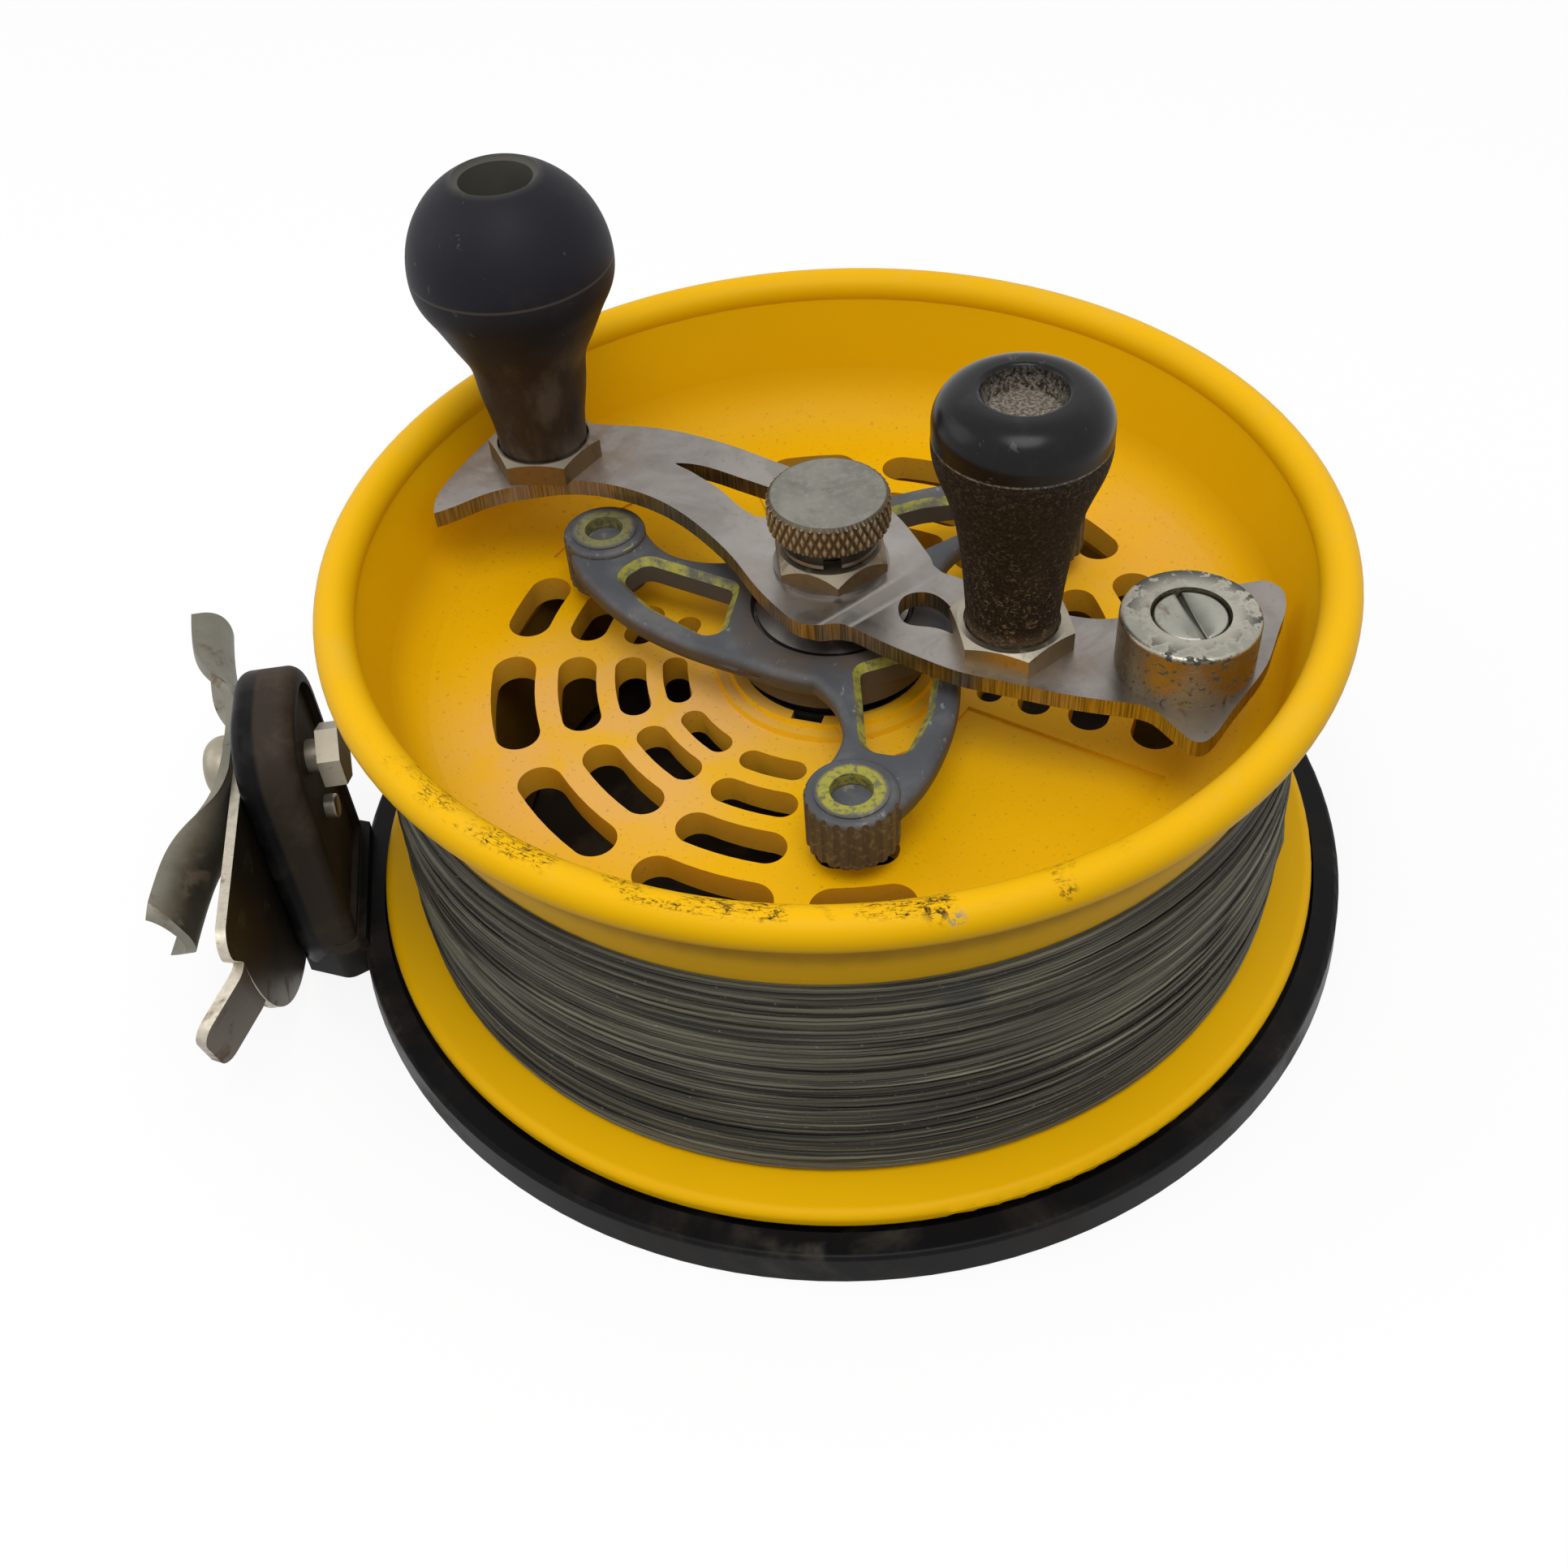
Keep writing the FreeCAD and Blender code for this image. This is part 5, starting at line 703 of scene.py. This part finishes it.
def wind(mesh, radius, start, pitch, turns, thickness, steps):
    """Screws a ring of vertices once round Z, repeats the lap up the coil and gives back the vertices."""
    sides = 5
    lap = bmesh.new()
    place = Matrix.Translation((radius, 0.0, start)) @ Matrix.Rotation(math.pi / 2, 4, "X")
    ring = bmesh.ops.create_circle(lap, segments=sides, radius=thickness / 2, cap_ends=False, matrix=place)
    edges = list({edge for vert in ring["verts"] for edge in vert.link_edges})
    spin(lap, edges + ring["verts"], steps, rise=pitch / steps)
    one = bpy.data.meshes.new("lap")
    lap.to_mesh(one)
    lap.free()
    made = []
    for turn in range(turns):
        count = len(mesh.verts)
        mesh.from_mesh(one)
        mesh.verts.ensure_lookup_table()
        added = mesh.verts[count:]
        bmesh.ops.translate(mesh, verts=added, vec=(0.0, 0.0, pitch * turn))
        made += added
    bpy.data.meshes.remove(one)
    bmesh.ops.remove_doubles(mesh, verts=made, dist=1e-6)
    return [vert for vert in made if vert.is_valid]


def line_radius(height):
    """Radius of the winding's surface at a height: full at the back, a little less under the lip."""
    core_low, core_high = line_core
    low, length = core_low[2] + 0.0003, 0.0455
    back_radius, taper, crown = core_high[0] + 0.0017, 0.0019, 0.0005
    share = min(max((height - low) / length, 0.0), 1.0)
    return back_radius - taper * share + crown * math.sin(math.pi * share)


def stray(vert, base, wander, sink, seed):
    """Moves a vertex of the coil on to the winding's surface, with a slow wander of its own."""
    x, y, z = vert.co
    flat = math.hypot(x, y)
    here = Vector((x / flat, y / flat, 0.0))
    sway = noise.noise(Vector((here.x * 1.3 + seed, here.y * 1.3, z * SWAY_RATE)))
    swell = noise.noise(Vector((here.x * 2.1, here.y * 2.1 + seed, z * SWELL_RATE)))
    each = noise.noise(Vector((here.x * 1.7 + seed, here.y * 1.7, z * TURN_RATE)))
    lifted = z + wander * sway
    reach = flat - base + line_radius(lifted) + sink * (0.6 * swell + 0.9 * each)
    vert.co = Vector((here.x * reach, here.y * reach, lifted))


def line_finish():
    """Grey brown line whose tone changes from turn to turn, with dark lengths, specks of salt, painted shade
    in the gaps between turns and painted highlights on bright strands.
    """
    hue = reel().colours
    mud, salt_grey, smear_blue = (0.070, 0.050, 0.032), (0.27, 0.24, 0.18), (0.034, 0.039, 0.044)
    smear_place = (0.0057, -0.0773, 0.0493)
    finish = Finish("line_grey", hue.line, 0.42, Specular_IOR_Level=0.22)
    turns = finish.cloud(1.0, 2.0, 0.7, stretch=(9.0, 9.0, 1500.0))
    bands = finish.cloud(1.0, 4.0, 0.65, stretch=(13.0, 13.0, 520.0), offset=(0.3, 0.0, 0.0))
    # Painted shade in the narrow gaps between turns.
    gap_shade = finish.cloud(1.0, 2.0, 0.5, stretch=(16.0, 16.0, 2600.0), offset=(0.9, 0.0, 0.0))
    brown = finish.cloud(1.0, 3.0, 0.6, stretch=(20.0, 20.0, 110.0), offset=(0.0, 0.6, 0.0))
    salt = finish.cloud(1300.0, 3.0, 0.6, stretch=(1.0, 1.0, 1.8)).band(0.64, 0.72)
    smear = finish.near(smear_place, 0.0022, 0.0046, flat=False)
    finish.colour(
        hue.line_dark_and_gap_shade,
        (turns.band(0.38, 0.58), hue.line),
        (bands.band(0.46, 0.36) * 0.30 + gap_shade.band(0.48, 0.40) * 0.85, hue.line_dark_and_gap_shade),
        (brown.band(0.54, 0.72) * 0.25, mud),
        # Painted highlights on bright strands, at twice the line's colour.
        (bands.band(0.52, 0.68) * turns.band(0.45, 0.60) * 0.7, tint(hue.line, 2.0)),
        (salt * 0.5, salt_grey),
        (smear * (0.25 + gap_shade.band(0.60, 0.40) * 0.5), smear_blue),
    )
    finish.roughness(0.40 + turns * 0.2)
    return finish


def wind_line():
    """The whole winding: close turns on a drum, with lengths that cross over them."""
    size = reel().line
    finish = line_finish()
    thick = size.thickness
    core_low, core_high = line_core
    low, length, core = core_low[2] + 0.0005, 0.0446, core_high[0]
    wound_at, drum_bore, drum_edge, drum_foot = core + 0.0008, core - 0.0072, core + 0.0010, low - 0.0002
    drum_steps, drum_sides = 12, 128
    # Start above the winding's foot, pitch and laps of each length that crosses.
    crossings = ((0.0018, 0.0031, 12), (0.0433, -0.0046, 8), (0.0098, 0.0058, 5))

    close = bmesh.new()
    turns = int(length / size.pitch)
    for vert in wind(close, wound_at, low, size.pitch, turns, thick, size.steps):
        stray(vert, wound_at + thick / 2, size.wander, size.sink, 0.0)
    new_piece("wound_line", close, finish, "spool_body", ("line_core", "line_turns"))

    over = bmesh.new()
    for number, (start, pitch, laps) in enumerate(crossings):
        for vert in wind(over, wound_at, low + start, pitch, laps, thick * 0.95, size.steps):
            stray(vert, wound_at - thick * 0.15, size.wander * 1.6, size.sink * 0.5, 3.0 + number)
    new_piece("crossing_line", over, finish, "spool_body", ())

    drum = bmesh.new()
    profile = [(drum_bore, drum_foot), (drum_edge, drum_foot)]
    for step in range(drum_steps + 1):
        height = low + length * step / drum_steps
        profile.append((line_radius(height) - thick * 0.95, height))
    spin_profile(drum, profile, drum_sides)
    new_piece("line_drum", drum, finish, "spool_body", ())


def spin_profile(mesh, points, steps):
    """Turns an open profile of (radius, height) points round Z."""
    verts = [mesh.verts.new((radius, 0.0, height)) for radius, height in points]
    edges = [mesh.edges.new(pair) for pair in zip(verts, verts[1:])]
    spin(mesh, verts + edges, steps, merge=True)
    bmesh.ops.remove_doubles(mesh, verts=mesh.verts, dist=1e-6)
    bmesh.ops.recalc_face_normals(mesh, faces=mesh.faces)


def turn_screw():
    """The weight's screw again, its slot turned as a last tightening left it."""
    slot_turn, slot_green = 46.0, (0.055, 0.070, 0.050)
    mesh = bmesh.new()
    mesh.from_mesh(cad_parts["counterweight_screw"].data)
    bmesh.ops.remove_doubles(mesh, verts=mesh.verts, dist=1e-7)
    turn = Matrix.Rotation(math.radians(slot_turn), 3, "Z")
    bmesh.ops.rotate(mesh, cent=middle("counterweight_screw"), matrix=turn, verts=mesh.verts)
    finish = steel("weight_screw_metal", (0.39, 0.385, 0.33), stains=0.30, roughness=0.38)
    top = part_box("counterweight_screw")[1][2]
    slot = finish.part("Z").band(top - 0.0005, top - 0.0010)
    finish.colour(finish.tone, (slot * 0.8, slot_green))
    piece = new_piece("weight_screw", mesh, finish, "crank", ("counterweight_screw",))
    piece.data.set_sharp_from_angle(angle=CREASE)


def knurl_finish(radius, chamfer):
    """Greenish dulled steel, dark in the grooves of its side and bright on their crests."""
    groove_brown, crest_bright = (0.135, 0.108, 0.074), (0.44, 0.385, 0.29)
    green_film, cloud_grey, bright_speck = (0.13, 0.155, 0.085), (0.150, 0.152, 0.138), (0.33, 0.325, 0.29)
    depth = reel().knurl.depth
    finish = steel("knob_steel", (0.255, 0.247, 0.208), stains=0.30, roughness=0.42)
    away = finish.distance(ORIGIN)
    side = away.band(radius - chamfer * 1.4, radius - chamfer * 1.1)
    top = 1.0 - side
    crest = away.band(radius - depth * 0.75, radius - depth * 0.15)
    green = finish.cloud(230.0, 3.0, 0.6, offset=(0.0, 0.2, 0.5)).band(0.56, 0.68)
    cloudy = finish.cloud(190.0, 4.0, 0.6, offset=(0.9, 0.0, 0.2)).band(0.40, 0.62)
    finish.colour(
        finish.tone,
        (side, finish.mix(crest, groove_brown, crest_bright)),
        (green * (0.25 + side * 0.35), green_film),
        (top * cloudy * 0.40, cloud_grey),
        (top * finish.grit.band(0.50, 0.66) * 0.45, bright_speck),
    )
    return finish


def knurl_knob():
    """Round knob on a neck, with crossed grooves cut into its side."""
    size = reel().knurl
    low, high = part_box("release_knob")
    radius, top = high[0], high[2]
    bottom = low[2] + size.stand
    bore, roof = 0.00305, top - 0.0008
    chamfer, rows, diamond_height, columns_each = 0.0007, 14, 0.0015, 8
    profile = [(0.0, roof), (bore, roof), (bore, low[2]), (size.neck, low[2]), (size.neck, bottom)]
    profile += [(radius - chamfer * 1.9, bottom), (radius - chamfer * 0.6, bottom + chamfer * 0.45)]
    side_height = top - bottom - 1.7 * chamfer
    profile += [(radius, bottom + chamfer + side_height * row / rows) for row in range(rows + 1)]
    profile += [(radius - chamfer, top), (radius - chamfer * 1.6, top), (radius * 0.6, top), (0.0, top)]
    mesh = bmesh.new()
    spin_profile(mesh, profile, size.count * columns_each)
    for vert in mesh.verts:
        x, y, z = vert.co
        reach = math.hypot(x, y)
        if reach < radius - chamfer * 0.8:
            continue
        angle = math.atan2(y, x) * size.count / 2
        rise = (z - bottom) / diamond_height * math.pi / 2
        groove = max(abs(math.cos(angle + rise)), abs(math.cos(angle - rise))) ** 3
        shrink = (reach - size.depth * groove) / reach
        vert.co = Vector((x * shrink, y * shrink, z))
    finish = knurl_finish(radius, chamfer)
    piece = new_piece("knurled_knob", mesh, finish, "lock_knob", ("release_knob",))
    piece.data.set_sharp_from_angle(angle=CREASE)


# Stage.

CAMERA_PLACE = (-0.02927, -0.21527, 0.2429)
CAMERA_FORWARD = (0.0604, 0.6901, -0.7213)
CAMERA_UP = (0.1402, 0.7096, 0.6906)
CAMERA_LENS = 39.13
CAMERA_SENSOR = 36.0
LAMP_AIM = (0.0, 0.0, 0.04)
KEY_PLACE = (-0.02, -0.30, 0.82)
KEY_SIZE = 0.45
FILL_PLACE = (-0.70, 0.15, 0.45)
FILL_SIZE = 0.5


def place_camera():
    """Camera where the photograph was taken from."""
    forward = Vector(CAMERA_FORWARD).normalized()
    right = forward.cross(Vector(CAMERA_UP)).normalized()
    up = right.cross(forward)
    data = bpy.data.cameras.new("camera")
    data.lens = CAMERA_LENS
    data.sensor_width = CAMERA_SENSOR
    data.clip_start = 0.01
    camera = bpy.data.objects.new("camera", data)
    turn = Matrix((right, up, -forward)).transposed().to_4x4()
    camera.matrix_world = Matrix.Translation(CAMERA_PLACE) @ turn
    bpy.context.scene.collection.objects.link(camera)
    bpy.context.scene.camera = camera


def seen_white(nodes, lit, shown, slot):
    """Shows one shader straight, in reflections and through glass, and lights the scene with the other."""
    path = nodes.node("ShaderNodeLightPath", {}, {})
    rays = ("Is Camera Ray", "Is Glossy Ray", "Is Transmission Ray")
    straight, glossy, through = (Value(nodes, path.outputs[ray]) for ray in rays)
    seen = straight.maths("MAXIMUM", glossy.maths("MAXIMUM", through))
    mix = nodes.node("ShaderNodeMixShader", {}, {0: seen, 1: lit, 2: shown})
    nodes.feed(slot, mix.outputs[0])


def set_world():
    """Light that grows from the horizon to overhead, in a world that shows white."""
    world = bpy.data.worlds.new("studio")
    bpy.context.scene.world = world
    world.use_nodes = True
    light = reel().stage
    sky = Nodes(world.node_tree)
    way = sky.node("ShaderNodeTexCoord", {}, {}).outputs["Generated"]
    height = sky.node("ShaderNodeSeparateXYZ", {}, {"Vector": way}).outputs["Z"]
    links = {"Value": height, "From Min": 0.0, "From Max": 1.0}
    links.update({"To Min": light.horizon, "To Max": light.world})
    rise = sky.node("ShaderNodeMapRange", {}, links)
    lit = sky.tree.nodes["Background"]
    sky.feed(lit.inputs["Color"], WHITE)
    sky.feed(lit.inputs["Strength"], rise.outputs["Result"])
    white = sky.node("ShaderNodeBackground", {}, {"Color": WHITE, "Strength": 1.0})
    output = sky.tree.nodes["World Output"]
    seen_white(sky, lit.outputs[0], white.outputs[0], output.inputs["Surface"])


def add_lamp(name, place, size, power):
    """Round lamp turned to the reel."""
    data = bpy.data.lights.new(name, "AREA")
    data.shape = "DISK"
    data.size = size
    data.energy = power
    lamp = bpy.data.objects.new(name, data)
    way = (Vector(LAMP_AIM) - Vector(place)).normalized()
    lamp.matrix_world = Matrix.Translation(place) @ way.to_track_quat("-Z", "Y").to_matrix().to_4x4()
    bpy.context.scene.collection.objects.link(lamp)


def floor_finish():
    """Pale floor that shows nearly white with a faint shadow, and throws little light back."""
    finish = Finish("floor_white", (0.22, 0.22, 0.22), 0.95, Specular_IOR_Level=0.0)
    pale = finish.node("ShaderNodeBsdfDiffuse", {}, {"Color": (0.93, 0.93, 0.93)})
    white = finish.node("ShaderNodeEmission", {}, {"Color": WHITE, "Strength": 1.0})
    links = {0: reel().stage.shadow, 1: white.outputs[0], 2: pale.outputs[0]}
    shown = finish.node("ShaderNodeMixShader", {}, links)
    output = finish.tree.nodes["Material Output"]
    seen_white(finish, finish.shader.outputs[0], shown.outputs[0], output.inputs["Surface"])
    return finish


def lay_floor():
    """Wide pale floor just under the back plate."""
    drop, half_width = 0.0002, 3.0
    mesh = bmesh.new()
    bmesh.ops.create_grid(mesh, x_segments=1, y_segments=1, size=half_width)
    data = bpy.data.meshes.new("floor")
    mesh.to_mesh(data)
    mesh.free()
    data.transform(Matrix.Translation((0.0, 0.0, cad_box[0][2] - drop)))
    data.materials.append(floor_finish().material)
    floor = bpy.data.objects.new("floor", data)
    bpy.context.scene.collection.objects.link(floor)


# Operators.

class SpoolFinish(bpy.types.Operator):
    """Finish the spool in worn yellow"""

    bl_idname = "surf_reel.spool"
    bl_label = "Spool"

    def execute(self, context):
        spool_finish()
        return {"FINISHED"}


class PlateFinish(bpy.types.Operator):
    """Finish the back plate and its bracket in dusty black"""

    bl_idname = "surf_reel.plate"
    bl_label = "Back plate"

    def execute(self, context):
        plate_finish()
        return {"FINISHED"}


class MetalFinish(bpy.types.Operator):
    """Finish the steel, the counterweight, the bushes, the seal and the fibre washer"""

    bl_idname = "surf_reel.metal"
    bl_label = "Metal"

    def execute(self, context):
        metal_finishes()
        small_finishes()
        return {"FINISHED"}


class TurnScrew(bpy.types.Operator):
    """Make the counterweight's screw with its slot turned"""

    bl_idname = "surf_reel.screw"
    bl_label = "Weight screw"

    def execute(self, context):
        turn_screw()
        return {"FINISHED"}


class StarFinish(bpy.types.Operator):
    """Finish the star wheel with worn edges"""

    bl_idname = "surf_reel.star"
    bl_label = "Star wheel"

    def execute(self, context):
        star_finish()
        return {"FINISHED"}


class KnobFinish(bpy.types.Operator):
    """Finish the two handle knobs"""

    bl_idname = "surf_reel.knobs"
    bl_label = "Handle knobs"

    def execute(self, context):
        ball_finish()
        grip_finish()
        cap_finish()
        return {"FINISHED"}


class WindLine(bpy.types.Operator):
    """Wind the line on to the spool"""

    bl_idname = "surf_reel.line"
    bl_label = "Line"

    def execute(self, context):
        wind_line()
        return {"FINISHED"}


class KnurlKnob(bpy.types.Operator):
    """Make the knurled knob on the spindle's tip"""

    bl_idname = "surf_reel.knurl"
    bl_label = "Knurled knob"

    def execute(self, context):
        knurl_knob()
        return {"FINISHED"}


class BuildStage(bpy.types.Operator):
    """Set the camera, the lamps, the world and the floor"""

    bl_idname = "surf_reel.stage"
    bl_label = "Stage"

    def execute(self, context):
        light = reel().stage
        place_camera()
        set_world()
        lay_floor()
        add_lamp("key_lamp", KEY_PLACE, KEY_SIZE, light.key)
        add_lamp("fill_lamp", FILL_PLACE, FILL_SIZE, light.fill)
        bpy.context.scene.view_settings.view_transform = "Standard"
        return {"FINISHED"}


class ReelPanel(bpy.types.Panel):
    """Lists the reel's pieces in the sidebar"""

    bl_idname = "VIEW3D_PT_surf_reel"
    bl_label = "Surf reel"
    bl_space_type = "VIEW_3D"
    bl_region_type = "UI"
    bl_category = "Surf reel"

    def draw(self, context):
        for operator in OPERATORS:
            self.layout.operator(operator.bl_idname)
        for group in (reel().colours, reel().line, reel().knurl, reel().stage):
            for name in group.__annotations__:
                self.layout.prop(group, name)


class ReelSettings(bpy.types.PropertyGroup):
    """All the reel's settings."""

    colours: PointerProperty(type=ReelColours, name="Colours", description="Colours of the finishes")
    line: PointerProperty(type=ReelLine, name="Line", description="Sizes of the wound line")
    knurl: PointerProperty(type=ReelKnurl, name="Knurl", description="Sizes of the knurled knob")
    stage: PointerProperty(type=ReelStage, name="Stage", description="Light of the studio")


GROUPS = (ReelColours, ReelLine, ReelKnurl, ReelStage, ReelSettings)
OPERATORS = (
    BuildStage,
    SpoolFinish,
    PlateFinish,
    MetalFinish,
    TurnScrew,
    StarFinish,
    KnobFinish,
    WindLine,
    KnurlKnob,
)


def register():
    """Registers the classes and the scene's settings."""
    for item in (*GROUPS, *OPERATORS, ReelPanel):
        bpy.utils.register_class(item)
    bpy.types.Scene.surf_reel = PointerProperty(
        type=ReelSettings, name="Surf reel", description="Settings of the reel"
    )


def unregister():
    """Takes the scene's settings and the classes away again."""
    del bpy.types.Scene.surf_reel
    for item in reversed((*GROUPS, *OPERATORS, ReelPanel)):
        bpy.utils.unregister_class(item)


def main():
    """Runs every operator in order."""
    register()
    for operator in OPERATORS:
        group, name = operator.bl_idname.split(".")
        getattr(getattr(bpy.ops, group), name)()


if __name__ == "__main__":
    main()
